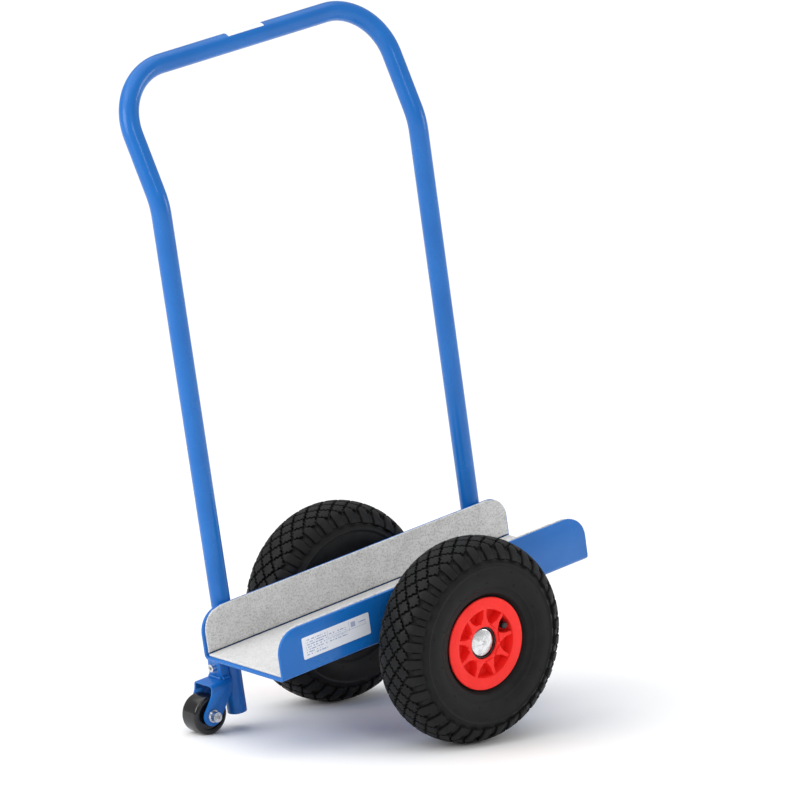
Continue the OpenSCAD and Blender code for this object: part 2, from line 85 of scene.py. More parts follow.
class Value:
    """One output socket, which takes part in sums as a number does."""

    def __init__(self, graph: "Graph", socket: bpy.types.NodeSocket) -> None:
        """Wraps a socket of a graph."""
        self.graph = graph
        self.socket = socket

    def _math(self, operation: str, a: "Number", b: "Number" = 0.0) -> "Value":
        """Adds one Math node.

        Args:
            operation: the node's operation.
            a: its first value.
            b: its second value.

        Returns:
            The node's result.
        """
        return self.graph.node("ShaderNodeMath", {"operation": operation}, {0: a, 1: b})

    def __add__(self, other: "Number") -> "Value":
        """Returns self + other."""
        return self._math("ADD", self, other)

    def __sub__(self, other: "Number") -> "Value":
        """Returns self - other."""
        return self._math("SUBTRACT", self, other)

    def __rsub__(self, other: "Number") -> "Value":
        """Returns other - self."""
        return self._math("SUBTRACT", other, self)

    def __mul__(self, other: "Number") -> "Value":
        """Returns self * other."""
        return self._math("MULTIPLY", self, other)

    def __truediv__(self, other: "Number") -> "Value":
        """Returns self / other."""
        return self._math("DIVIDE", self, other)

    __radd__ = __add__
    __rmul__ = __mul__

    def above(self, limit: "Number") -> "Value":
        """Returns 1 where the value is above a limit, else 0."""
        return self._math("GREATER_THAN", self, limit)

    def below(self, limit: "Number") -> "Value":
        """Returns 1 where the value is below a limit, else 0."""
        return self._math("LESS_THAN", self, limit)

    def fraction(self) -> "Value":
        """Returns the part after the decimal point."""
        return self._math("FRACT", self)

    def floor(self) -> "Value":
        """Returns the whole number below."""
        return self._math("FLOOR", self)

    def sine(self) -> "Value":
        """Returns the sine of an angle in radians."""
        return self._math("SINE", self)

    def between(self, low: float, high: float) -> "Value":
        """Returns 1 from low to high, else 0."""
        return self.above(low) * self.below(high)


Number = Value | float


class Graph:
    """A node tree, and the one way in which its nodes are made."""

    def __init__(self, tree: bpy.types.NodeTree) -> None:
        """Wraps a tree."""
        self.tree = tree

    def made(self, kind: str, settings: dict | None = None, inputs: dict | None = None) -> bpy.types.Node:
        """Makes one node, with its settings first.

        Args:
            kind: the node's type.
            settings: its properties, with a ramp's stops under "stops".
            inputs: the values or links of its sockets, by name or place.

        Returns:
            The node.
        """
        node = self.tree.nodes.new(kind)
        for key, value in (settings or {}).items():
            if key == "stops":
                self._set_stops(node, value)
            else:
                setattr(node, key, value)
        for key, value in (inputs or {}).items():
            if isinstance(value, Value):
                self.tree.links.new(value.socket, node.inputs[key])
            else:
                node.inputs[key].default_value = value
        return node

    def node(
        self, kind: str, settings: dict | None = None, inputs: dict | None = None, output: int | str = 0
    ) -> Value:
        """Makes one node and returns one of its outputs.

        Args:
            kind: the node's type.
            settings: its properties.
            inputs: the values or links of its sockets.
            output: the name or place of the output.

        Returns:
            That output.
        """
        return Value(self, self.made(kind, settings, inputs).outputs[output])

    @staticmethod
    def _set_stops(node: bpy.types.Node, stops: list[tuple[float, float]]) -> None:
        """Gives a colour ramp its grey stops, each a place and a brightness."""
        elements = node.color_ramp.elements
        while len(elements) < len(stops):
            elements.new(1.0)
        for element, (place, grey) in zip(elements, stops):
            element.position = place
            element.color = (grey, grey, grey, 1.0)


class Surface(Graph):
    """A material under construction, around one Principled shader."""

    def __init__(self, name: str, **constants: float) -> None:
        """Starts a material.

        Args:
            name: the material's name.
            constants: the shader's own sockets that are the same all over, with _ for spaces.
        """
        self.material = bpy.data.materials.new(name)
        self.material.use_nodes = True
        super().__init__(self.material.node_tree)
        self.tree.nodes.clear()
        self.shader = self.made("ShaderNodeBsdfPrincipled")
        for key, value in constants.items():
            self.shader.inputs[key.replace("_", " ")].default_value = value
        self.made("ShaderNodeOutputMaterial", None, {"Surface": Value(self, self.shader.outputs[0])})
        self.place = self.node("ShaderNodeTexCoord", output="Object")

    def noise(
        self, size: float, detail: float = 3.0, stretch: Colour = (1, 1, 1), rough: float = 0.55
    ) -> Value:
        """Returns smooth noise in the object's own space.

        Args:
            size: about how far its features are apart, in metres.
            detail: how many finer layers it has.
            stretch: how much denser it is along each axis.
            rough: how strong the finer layers are.

        Returns:
            The noise, from 0 to 1.
        """
        place = self.node(
            "ShaderNodeVectorMath", {"operation": "MULTIPLY"}, {0: self.place, 1: Vector(stretch) / size}
        )
        return self.node(
            "ShaderNodeTexNoise", None, {"Vector": place, "Scale": 1.0, "Detail": detail, "Roughness": rough}
        )

    def ramp(self, value: Value, *stops: tuple[float, float]) -> Value:
        """Returns a value passed through grey stops."""
        return self.node("ShaderNodeValToRGB", {"stops": list(stops)}, {0: value})

    def mix(self, share: Number, a: "Colour | Value", b: "Colour | Value") -> Value:
        """Mixes two colours.

        Args:
            share: how much of the second colour there is.
            a: the first colour.
            b: the second colour.

        Returns:
            The mixed colour.
        """
        filled = [c if isinstance(c, Value) else (*c, 1.0) for c in (a, b)]
        return self.node(
            "ShaderNodeMix", {"data_type": "RGBA"}, {0: share, 6: filled[0], 7: filled[1]}, output=2
        )

    def bump(self, height: Value, depth: float, strength: float = 1.0) -> Value:
        """Returns a normal from a height, whose full swing is depth metres."""
        return self.node(
            "ShaderNodeBump", None, {"Strength": strength, "Distance": depth, "Height": height}
        )

    def set(self, **links: Value) -> None:
        """Links values to the shader's sockets, with _ for spaces."""
        for key, value in links.items():
            self.tree.links.new(value.socket, self.shader.inputs[key.replace("_", " ")])


# ------------------------------------------------------------------ finishes


@dataclass(frozen=True)
class Paint:
    """Glossy powder coat, with fine orange peel and light handling marks."""

    colour: Colour = (0.008, 0.140, 0.480)
    deep: Colour = (0.005, 0.120, 0.430)
    scuff: Colour = (0.050, 0.190, 0.520)
    peel: float = 2.4 * MM

    def material(self, name: str) -> bpy.types.Material:
        """Returns the finish as a material."""
        s = Surface(name, Coat_Weight=0.22, Coat_Roughness=0.06, Specular_IOR_Level=0.24)
        tone = s.ramp(s.noise(60 * MM, 2), (0.3, 0.0), (0.7, 1.0))
        scratch = s.ramp(s.noise(5 * MM, 4, (1, 1, 0.12)), (0.66, 0.0), (0.72, 1.0))
        worn = s.ramp(s.noise(35 * MM, 3), (0.55, 0.0), (0.68, 1.0))
        mark = scratch * worn
        base = s.mix(tone, self.colour, self.deep)
        peel = s.noise(self.peel, 1.5)
        s.set(
            Base_Color=s.mix(mark * 0.5, base, self.scuff),
            Roughness=0.26 + tone * 0.06 + mark * 0.2,
            Normal=s.bump(peel - mark * 0.5, 0.035 * MM),
        )
        return s.material


@dataclass(frozen=True)
class Felt:
    """Needle felt of mixed grey and white fibres."""

    light: Colour = (0.76, 0.76, 0.755)
    dark: Colour = (0.10, 0.10, 0.105)
    dark_share: float = 0.62

    def material(self, name: str) -> bpy.types.Material:
        """Returns the finish as a material."""
        s = Surface(name, Sheen_Weight=0.35, Sheen_Roughness=0.5, Specular_IOR_Level=0.15)
        fibre = s.noise(1.5 * MM, 6, (1, 1, 1), 0.75)
        fleck = s.ramp(s.noise(2.6 * MM, 3, (1, 1, 1), 0.6), (0.48, 0.0), (0.62, 1.0))
        strand = s.ramp(s.noise(3.2 * MM, 2, (0.35, 1, 1.4)), (0.56, 0.0), (0.64, 1.0))
        cloud = s.ramp(s.noise(26 * MM, 3), (0.3, 0.0), (0.75, 1.0))
        share = (fleck * 0.5 + strand * 0.2 + cloud * 0.3) * self.dark_share
        base = s.mix(share, self.light, self.dark)
        fine = s.mix(s.ramp(fibre, (0.35, 0.0), (0.65, 1.0)) * 0.3, base, (0.36, 0.36, 0.355))
        s.set(
            Base_Color=fine,
            Roughness=0.88 + fleck * 0.1,
            Normal=s.bump(fibre + strand * 0.4, 0.5 * MM),
        )
        return s.material


@dataclass(frozen=True)
class Rubber:
    """Black rubber with a chalky bloom and a little dust."""

    colour: Colour = (0.0075, 0.0078, 0.0080)
    bloom: Colour = (0.0180, 0.0184, 0.0188)
    grain: float = 0.9 * MM
    gloss: float = 0.50

    def material(self, name: str) -> bpy.types.Material:
        """Returns the finish as a material."""
        s = Surface(name, Specular_IOR_Level=0.15)
        bloom = s.ramp(s.noise(18 * MM, 4), (0.42, 0.0), (0.75, 1.0))
        dust = s.ramp(s.noise(2.0 * MM, 4, rough=0.7), (0.62, 0.0), (0.74, 1.0))
        grain = s.noise(self.grain, 3)
        s.set(
            Base_Color=s.mix(bloom * 0.5 + dust * 0.3, self.colour, self.bloom),
            Roughness=self.gloss + bloom * 0.14 + dust * 0.1,
            Normal=s.bump(grain, 0.06 * MM),
        )
        return s.material


@dataclass(frozen=True)
class Moulding:
    """Moulded plastic with a faint flow pattern."""

    colour: Colour
    shade: Colour
    gloss: float = 0.34
    specular: float = 0.18
    texture: float = 0.02 * MM

    def material(self, name: str) -> bpy.types.Material:
        """Returns the finish as a material."""
        s = Surface(name, Specular_IOR_Level=self.specular)
        flow = s.ramp(s.noise(22 * MM, 3, (1, 1, 0.5)), (0.35, 0.0), (0.7, 1.0))
        rub = s.ramp(s.noise(4 * MM, 5), (0.60, 0.0), (0.72, 1.0))
        s.set(
            Base_Color=s.mix(flow * 0.6, self.colour, self.shade),
            Roughness=self.gloss + flow * 0.05 + rub * 0.12,
            Normal=s.bump(s.noise(1.1 * MM, 2), self.texture),
        )
        return s.material


@dataclass(frozen=True)
class Metal:
    """Bare or plated steel, with tool marks and dull patches whose darker colour is partly a painted
    reflection of dark surroundings.
    """

    colour: Colour = (0.74, 0.75, 0.76)
    # darker colour of the dull patches: partly a painted reflection of dark surroundings
    dull: Colour = (0.30, 0.31, 0.33)
    gloss: float = 0.17

    def material(self, name: str) -> bpy.types.Material:
        """Returns the finish as a material."""
        s = Surface(name, Metallic=1.0)
        # noise patches that are rougher (dull spots) and darker (painted reflection of dark surroundings)
        dull_and_reflection_patch = s.ramp(s.noise(6 * MM, 4), (0.4, 0.0), (0.72, 1.0))
        marks = s.noise(0.7 * MM, 3, (0.2, 1, 1))
        s.set(
            Base_Color=s.mix(dull_and_reflection_patch * 0.7, self.colour, self.dull),
            Roughness=self.gloss + dull_and_reflection_patch * 0.16 + marks * 0.06,
            Normal=s.bump(marks, 0.02 * MM),
        )
        return s.material


@dataclass(frozen=True)
class PrintedFilm:
    """White label film, with rows of grey strokes in ruled cells where it is printed."""

    film: Colour = (0.80, 0.83, 0.90)
    ink: Colour = (0.10, 0.16, 0.42)
    rows: int = 9
    printed: bool = True

    def material(self, name: str) -> bpy.types.Material:
        """Returns the finish as a material."""
        s = Surface(name, Coat_Weight=0.3, Coat_Roughness=0.15)
        grime = s.ramp(s.noise(9 * MM, 4), (0.45, 0.0), (0.8, 1.0))
        clean = s.mix(grime * 0.25, self.film, (0.62, 0.64, 0.68))
        colour = clean
        if self.printed:
            colour = s.mix(self._strokes(s) * 0.75, clean, self.ink)
        s.set(
            Base_Color=colour,
            Roughness=0.34 + grime * 0.1,
            Normal=s.bump(s.noise(1.5 * MM, 2), 0.02 * MM),
        )
        return s.material

    def _strokes(self, s: Surface) -> Value:
        """Returns 1 on the strokes and rules of the label's own UV square, else 0."""
        split = s.made("ShaderNodeSeparateXYZ", None, {0: s.node("ShaderNodeUVMap", {"uv_map": "label"})})
        u, v = (Value(s, split.outputs[i]) for i in range(2))
        row = v * self.rows
        spot = s.node("ShaderNodeCombineXYZ", None, {0: u * 46, 1: row.floor() * 7.3, 2: 0.0})
        broken = s.node("ShaderNodeTexNoise", None, {"Vector": spot, "Scale": 1.0, "Detail": 1.0}).above(0.49)
        text = row.fraction().between(0.3, 0.72) * broken
        left = u.between(0.05, 0.36) * v.between(0.12, 0.9)
        middle = u.between(0.40, 0.66) * (v.between(0.36, 0.5) + v.between(0.62, 0.78))
        right = u.between(0.84, 0.95) * v.between(0.62, 0.8)
        rule = (u.between(0.375, 0.379) + u.between(0.695, 0.699)) * v.between(0.5, 0.92)
        line = v.between(0.535, 0.55) * u.between(0.38, 0.96)
        mark = u.between(0.725, 0.79) * v.between(0.62, 0.85)
        return text * (left + middle + right) + rule + line + mark * 0.8


class Slot(Enum):
    """The record's material slots, each with its finish."""

    BLUE_PAINT = Paint()
    GREY_FELT = Felt()
    ZINC_PLATE = Metal()
    BRIGHT_STEEL = Metal((0.60, 0.61, 0.63), (0.36, 0.37, 0.39), 0.18)
    TREAD_RUBBER = Rubber()
    TUBE_RUBBER = Rubber(grain=0.5 * MM, gloss=0.45)
    RED_PLASTIC = Moulding((0.94, 0.030, 0.024), (0.84, 0.022, 0.018), 0.30)
    BLACK_NYLON = Moulding((0.004, 0.004, 0.0045), (0.009, 0.009, 0.010), 0.14, 0.5)
    NATURAL_NYLON = Moulding((0.62, 0.58, 0.46), (0.52, 0.48, 0.38), 0.42, 0.4)
    WHITE_FILM = PrintedFilm(printed=False)

    def dressed(self) -> bpy.types.Material:
        """Returns the slot's material, made once."""
        name = f"{self.name.lower()}_finish"
        return bpy.data.materials.get(name) or self.value.material(name)


# ------------------------------------------------------------------ making meshes


class Shape:
    """Vertices and faces being gathered for one mesh."""

    def __init__(self) -> None:
        """Starts an empty shape."""
        self.points: list[Vector] = []
        self.faces: list[tuple[int, ...]] = []

    def loops(self, rings: list[list[Vector]], around: bool = True, along: bool = False) -> None:
        """Joins rings of equal length with quads.

        Args:
            rings: the rings, in order.
            around: whether each ring closes on itself.
            along: whether the last ring joins the first.
        """
        start, count = len(self.points), len(rings[0])
        for ring in rings:
            self.points.extend(ring)
        for i in range(len(rings) if along else len(rings) - 1):
            here, there = start + i * count, start + (i + 1) % len(rings) * count
            for j in range(count if around else count - 1):
                k = (j + 1) % count
                self.faces.append((here + j, here + k, there + k, there + j))

    def lid(self, ring: list[Vector], middle: Vector) -> None:
        """Closes a ring with a fan.

        Args:
            ring: the ring's points.
            middle: the point that the fan meets in.
        """
        start = len(self.points)
        self.points.extend([*ring, middle])
        for j in range(len(ring)):
            self.faces.append((start + j, start + (j + 1) % len(ring), start + len(ring)))

    def lathe(self, profile: list[Point], steps: int, closed: bool = False) -> None:
        """Turns a profile about local Z.

        Args:
            profile: its points, each a radius and a height.
            steps: how many steps a full turn has.
            closed: whether the profile's last point joins its first.
        """
        rings = []
        for i in range(steps):
            turn = 2 * math.pi * i / steps
            rings.append([Vector((r * math.cos(turn), r * math.sin(turn), z)) for r, z in profile])
        self.loops(rings, around=closed, along=True)

    def object(self, name: str, material: bpy.types.Material, smooth: float = 40.0) -> bpy.types.Object:
        """Makes the shape an object, with doubles merged and faces turned outwards.

        Args:
            name: the object's name.
            material: its material.
            smooth: the sharpest edge that is shaded smooth, in degrees.

        Returns:
            The object, linked to the scene.
        """
        mesh = bpy.data.meshes.new(name)
        mesh.from_pydata([tuple(p) for p in self.points], [], self.faces)
        return tidied(linked(name, mesh), material, smooth)


def arc(centre: Point, radii: Point, start: float, stop: float, steps: int) -> list[Point]:
    """Returns points along a round or oval arc.

    Args:
        centre: its centre.
        radii: its radius along each axis.
        start: the angle that it starts at, in degrees.
        stop: the angle that it stops at, in degrees.
        steps: how many steps it has.

    Returns:
        The points, one more than the steps.
    """
    turns = [math.radians(start + (stop - start) * i / steps) for i in range(steps + 1)]
    return [(centre[0] + radii[0] * math.cos(a), centre[1] + radii[1] * math.sin(a)) for a in turns]


def standing(side: int) -> Matrix:
    """Returns the turn that stands a flat shape up, with its local Z along +Y or -Y."""
    return Matrix(((1, 0, 0), (0, 0, side), (0, 1, 0))).to_4x4()


def linked(name: str, data: bpy.types.ID) -> bpy.types.Object:
    """Makes an object of a mesh, a lamp or a camera, and links it to the scene."""
    made = bpy.data.objects.new(name, data)
    bpy.context.scene.collection.objects.link(made)
    return made


@contextmanager
def edited(mesh: bpy.types.Mesh) -> Iterator[bmesh.types.BMesh]:
    """Opens a mesh for edits, and writes them back at the end.

    Args:
        mesh: the mesh.

    Yields:
        Its editable form.
    """
    work = bmesh.new()
    work.from_mesh(mesh)
    yield work
    work.to_mesh(mesh)
    work.free()


def tidied(made: bpy.types.Object, material: bpy.types.Material, smooth: float = 40.0) -> bpy.types.Object:
    """Merges doubles, turns faces outwards, and shades and dresses the mesh.

    Args:
        made: the object.
        material: its material.
        smooth: the sharpest edge that is shaded smooth, in degrees.

    Returns:
        The same object.
    """
    with edited(made.data) as work:
        bmesh.ops.remove_doubles(work, verts=work.verts, dist=SAME_POINT)
        bmesh.ops.recalc_face_normals(work, faces=work.faces)
        for edge in work.edges:
            edge.smooth = len(edge.link_faces) == 2 and edge.calc_face_angle(0) < math.radians(smooth)
        for face in work.faces:
            face.smooth = True
    made.data.materials.clear()
    made.data.materials.append(material)
    return made


def placed(made: bpy.types.Object, place: Matrix) -> bpy.types.Object:
    """Moves a mesh into place, leaving its object at the origin.

    Args:
        made: the object.
        place: where its mesh goes, which may mirror it.

    Returns:
        The same object.
    """
    made.data.transform(place)
    if place.to_3x3().determinant() < 0:
        made.data.flip_normals()
    return made


def evaluated(made: bpy.types.Object) -> bpy.types.Object:
    """Turns what an object's modifiers show into a plain mesh.

    Args:
        made: the object, which is removed.

    Returns:
        An object of the same name without modifiers.
    """
    graph = bpy.context.evaluated_depsgraph_get()
    mesh = bpy.data.meshes.new_from_object(made.evaluated_get(graph), depsgraph=graph)
    name = made.name
    bpy.data.objects.remove(made)
    return linked(name, mesh)


def mounted(made: bpy.types.Object, body: str, slot: Slot, *nodes: str) -> bpy.types.Object:
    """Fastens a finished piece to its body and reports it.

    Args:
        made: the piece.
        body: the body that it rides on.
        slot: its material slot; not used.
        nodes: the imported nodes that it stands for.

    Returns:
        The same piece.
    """
    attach(made, body)
    if nodes:
        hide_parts(*nodes)
    log.info("%s: %d faces on %s", made.name, len(made.data.polygons), body)
    return made


def eased(node: bpy.types.Object, name: str, slot: Slot, radius: float) -> bpy.types.Object:
    """Copies a node's mesh with its sharp edges rounded.

    Args:
        node: the node to copy.
        name: the new piece's name.
        slot: its finish.
        radius: the width of the rounding.

    Returns:
        The new piece.
    """
    made = linked(name, node.data.copy())
    with edited(made.data) as work:
        bmesh.ops.remove_doubles(work, verts=work.verts, dist=2 * SAME_POINT)
        bmesh.ops.dissolve_limit(work, angle_limit=math.radians(0.5), verts=work.verts, edges=work.edges)
    if made.data.has_custom_normals:
        made.data.attributes.remove(made.data.attributes["custom_normal"])
    rounding = made.modifiers.new("rounding", "BEVEL")
    rounding.width = radius
    rounding.segments = 2
    rounding.limit_method = "ANGLE"
    rounding.angle_limit = math.radians(35)
    return tidied(evaluated(made), slot.dressed(), 50)


# ------------------------------------------------------------------ geometry nodes


class Maker(Graph):
    """A geometry tree with named inputs, ready to run as a modifier."""

    def __init__(self, name: str, inputs: dict[str, str]) -> None:
        """Starts a tree.

        Args:
            name: the tree's name.
            inputs: its inputs' names and socket types, after the geometry.
        """
        super().__init__(bpy.data.node_groups.new(name, "GeometryNodeTree"))
        face = self.tree.interface
        face.new_socket("Geometry", in_out="INPUT", socket_type="NodeSocketGeometry")
        self.keys = {
            label: face.new_socket(label, in_out="INPUT", socket_type=kind).identifier
            for label, kind in inputs.items()
        }
        face.new_socket("Geometry", in_out="OUTPUT", socket_type="NodeSocketGeometry")
        self.entry = self.made("NodeGroupInput")

    def input(self, label: str) -> Value:
        """Returns one of the tree's inputs."""
        return Value(self, self.entry.outputs[label])

    def finish(self, geometry: Value) -> None:
        """Ends the tree by making its instances real and setting the material."""
        real = self.node("GeometryNodeRealizeInstances", None, {"Geometry": geometry})
        dressed = self.node(
            "GeometryNodeSetMaterial", None, {"Geometry": real, "Material": self.input("Material")}
        )
        self.made("NodeGroupOutput", None, {"Geometry": dressed})

    def run(self, on: bpy.types.Object, **values: object) -> bpy.types.Object:
        """Runs the tree on an object.

        Args:
            on: the object, which is used up.
            values: a value for each of the tree's inputs.

        Returns:
            The result as a plain mesh object.
        """
        modifier = on.modifiers.new(self.tree.name, "NODES")
        modifier.node_group = self.tree
        for label, key in self.keys.items():
            modifier[key] = values[label]
        return evaluated(on)


def round_axis_maker() -> Maker:
    """Returns the tree that repeats a sector around local Z and joins it to its base."""
    m = Maker(
        "round_axis",
        {"Sector": "NodeSocketObject", "Count": "NodeSocketInt", "Material": "NodeSocketMaterial"},
    )
    points = m.node("GeometryNodeMeshLine", None, {"Count": m.input("Count"), "Offset": (0.0, 0.0, 0.0)})
    index = m.node("GeometryNodeInputIndex")
    turn = index * (2 * math.pi) / m.input("Count")
    spin = m.node("ShaderNodeCombineXYZ", None, {"Z": turn})
    sector = m.node("GeometryNodeObjectInfo", None, {"Object": m.input("Sector")}, output="Geometry")
    copies = m.node(
        "GeometryNodeInstanceOnPoints", None, {"Points": points, "Instance": sector, "Rotation": spin}
    )
    joined = m.made("GeometryNodeJoinGeometry", None, {"Geometry": m.input("Geometry")})
    m.tree.links.new(copies.socket, joined.inputs["Geometry"])
    m.finish(Value(m, joined.outputs[0]))
    return m


def bead_maker() -> Maker:
    """Returns the tree that lays a rippled weld bead along each line."""
    m = Maker(
        "weld_bead",
        {"Radius": "NodeSocketFloat", "Ripple": "NodeSocketFloat", "Material": "NodeSocketMaterial"},
    )
    line = m.node("GeometryNodeMeshToCurve", None, {"Mesh": m.input("Geometry")})
    fine = m.node("GeometryNodeResampleCurve", {"mode": "LENGTH"}, {"Curve": line, "Length": 0.45 * MM})
    length = m.node("GeometryNodeSplineParameter", output="Length")
    wave = (length / m.input("Ripple") * (2 * math.pi)).sine()
    drift = m.node("ShaderNodeTexNoise", None, {"Scale": 260.0, "Detail": 2.0})
    swell = wave * 0.09 + drift * 0.5 + 0.70
    sized = m.node(
        "GeometryNodeSetCurveRadius", None, {"Curve": fine, "Radius": m.input("Radius") * swell}
    )
    section = m.node("GeometryNodeCurvePrimitiveCircle", None, {"Resolution": 12, "Radius": 1.0})
    radius = m.node("GeometryNodeInputRadius")
    bead = {"Curve": sized, "Profile Curve": section, "Scale": radius, "Fill Caps": True}
    m.finish(m.node("GeometryNodeCurveToMesh", None, bead))
    return m


def path_maker() -> Maker:
    """Returns the tree that sweeps a round section along a line."""
    m = Maker(
        "bent_tube",
        {"Radius": "NodeSocketFloat", "Sides": "NodeSocketInt", "Material": "NodeSocketMaterial"},
    )
    line = m.node("GeometryNodeMeshToCurve", None, {"Mesh": m.input("Geometry")})
    section = m.node(
        "GeometryNodeCurvePrimitiveCircle", None,
        {"Resolution": m.input("Sides"), "Radius": m.input("Radius")},
    )
    m.finish(m.node("GeometryNodeCurveToMesh", None, {"Curve": line, "Profile Curve": section}))
    return m


def fibre_maker() -> Maker:
    """Returns the tree that scatters short fibres over a felt's surface."""
    m = Maker(
        "felt_fibres",
        {
            "Fibre": "NodeSocketObject",
            "Density": "NodeSocketFloat",
            "Seed": "NodeSocketInt",
            "Material": "NodeSocketMaterial",
        },
    )
    spread = m.made(
        "GeometryNodeDistributePointsOnFaces", None,
        {"Mesh": m.input("Geometry"), "Density": m.input("Density"), "Seed": m.input("Seed")},
    )
    twist = m.node(
        "FunctionNodeRandomValue", {"data_type": "FLOAT_VECTOR"},
        {0: (-0.15, -0.15, -math.pi), 1: (0.15, 0.15, math.pi), "Seed": m.input("Seed")},
    )
    turned = m.node(
        "FunctionNodeRotateRotation", {"rotation_space": "LOCAL"},
        {0: Value(m, spread.outputs["Rotation"]), 1: twist},
    )
    fibre = m.node("GeometryNodeObjectInfo", None, {"Object": m.input("Fibre")}, output="Geometry")
    copies = m.node(
        "GeometryNodeInstanceOnPoints", None,
        {"Points": Value(m, spread.outputs["Points"]), "Instance": fibre, "Rotation": turned},
    )
    m.finish(copies)
    return m


def line_object(name: str, *paths: list[Vector]) -> bpy.types.Object:
    """Makes open lines of edges.

    Args:
        name: the object's name.
        paths: the points of each line.

    Returns:
        The lines as one object.
    """
    spots: list[tuple[float, ...]] = []
    edges: list[tuple[int, int]] = []
    for path in paths:
        edges += [(len(spots) + i, len(spots) + i + 1) for i in range(len(path) - 1)]
        spots += [tuple(p) for p in path]
    mesh = bpy.data.meshes.new(name)
    mesh.from_pydata(spots, edges, [])
    return linked(name, mesh)


# ------------------------------------------------------------------ the frame's places


@dataclass
class Places:
    """Where the trough and the wheels stand, worked out from the record and the nodes."""

    frame: dict
    bed_height: float = 7 * MM

    def __post_init__(self) -> None:
        """Works out the trough's frame from the bed it offers."""
        bed = next(m for m in self.frame["record"]["mounts"] if m["name"] == "bed")
        up = Vector(bed["axis"]).normalized()
        along = Vector((up.z, 0, -up.x))
        turn = Matrix((along, Vector((0, 1, 0)), up)).transposed().to_4x4()
        self.trough = Matrix.Translation(Vector(bed["pos_m"]) - up * self.bed_height) @ turn

    def wheel(self, body: str, side: int) -> Matrix:
        """Returns a wheel's frame: local Z outwards, local X along the trough.

        Args:
            body: the wheel's body.
            side: -1 for the near wheel and 1 for the far one.

        Returns:
            The matrix that carries the wheel's own frame to its place.
        """
        joint = next(j for j in self.frame["joints"] if j["child"] == body)
        tilt = self.trough.to_3x3().to_4x4()
        return Matrix.Translation(Vector(joint["pos_m"])) @ tilt @ standing(side)


# ------------------------------------------------------------------ trough and felt


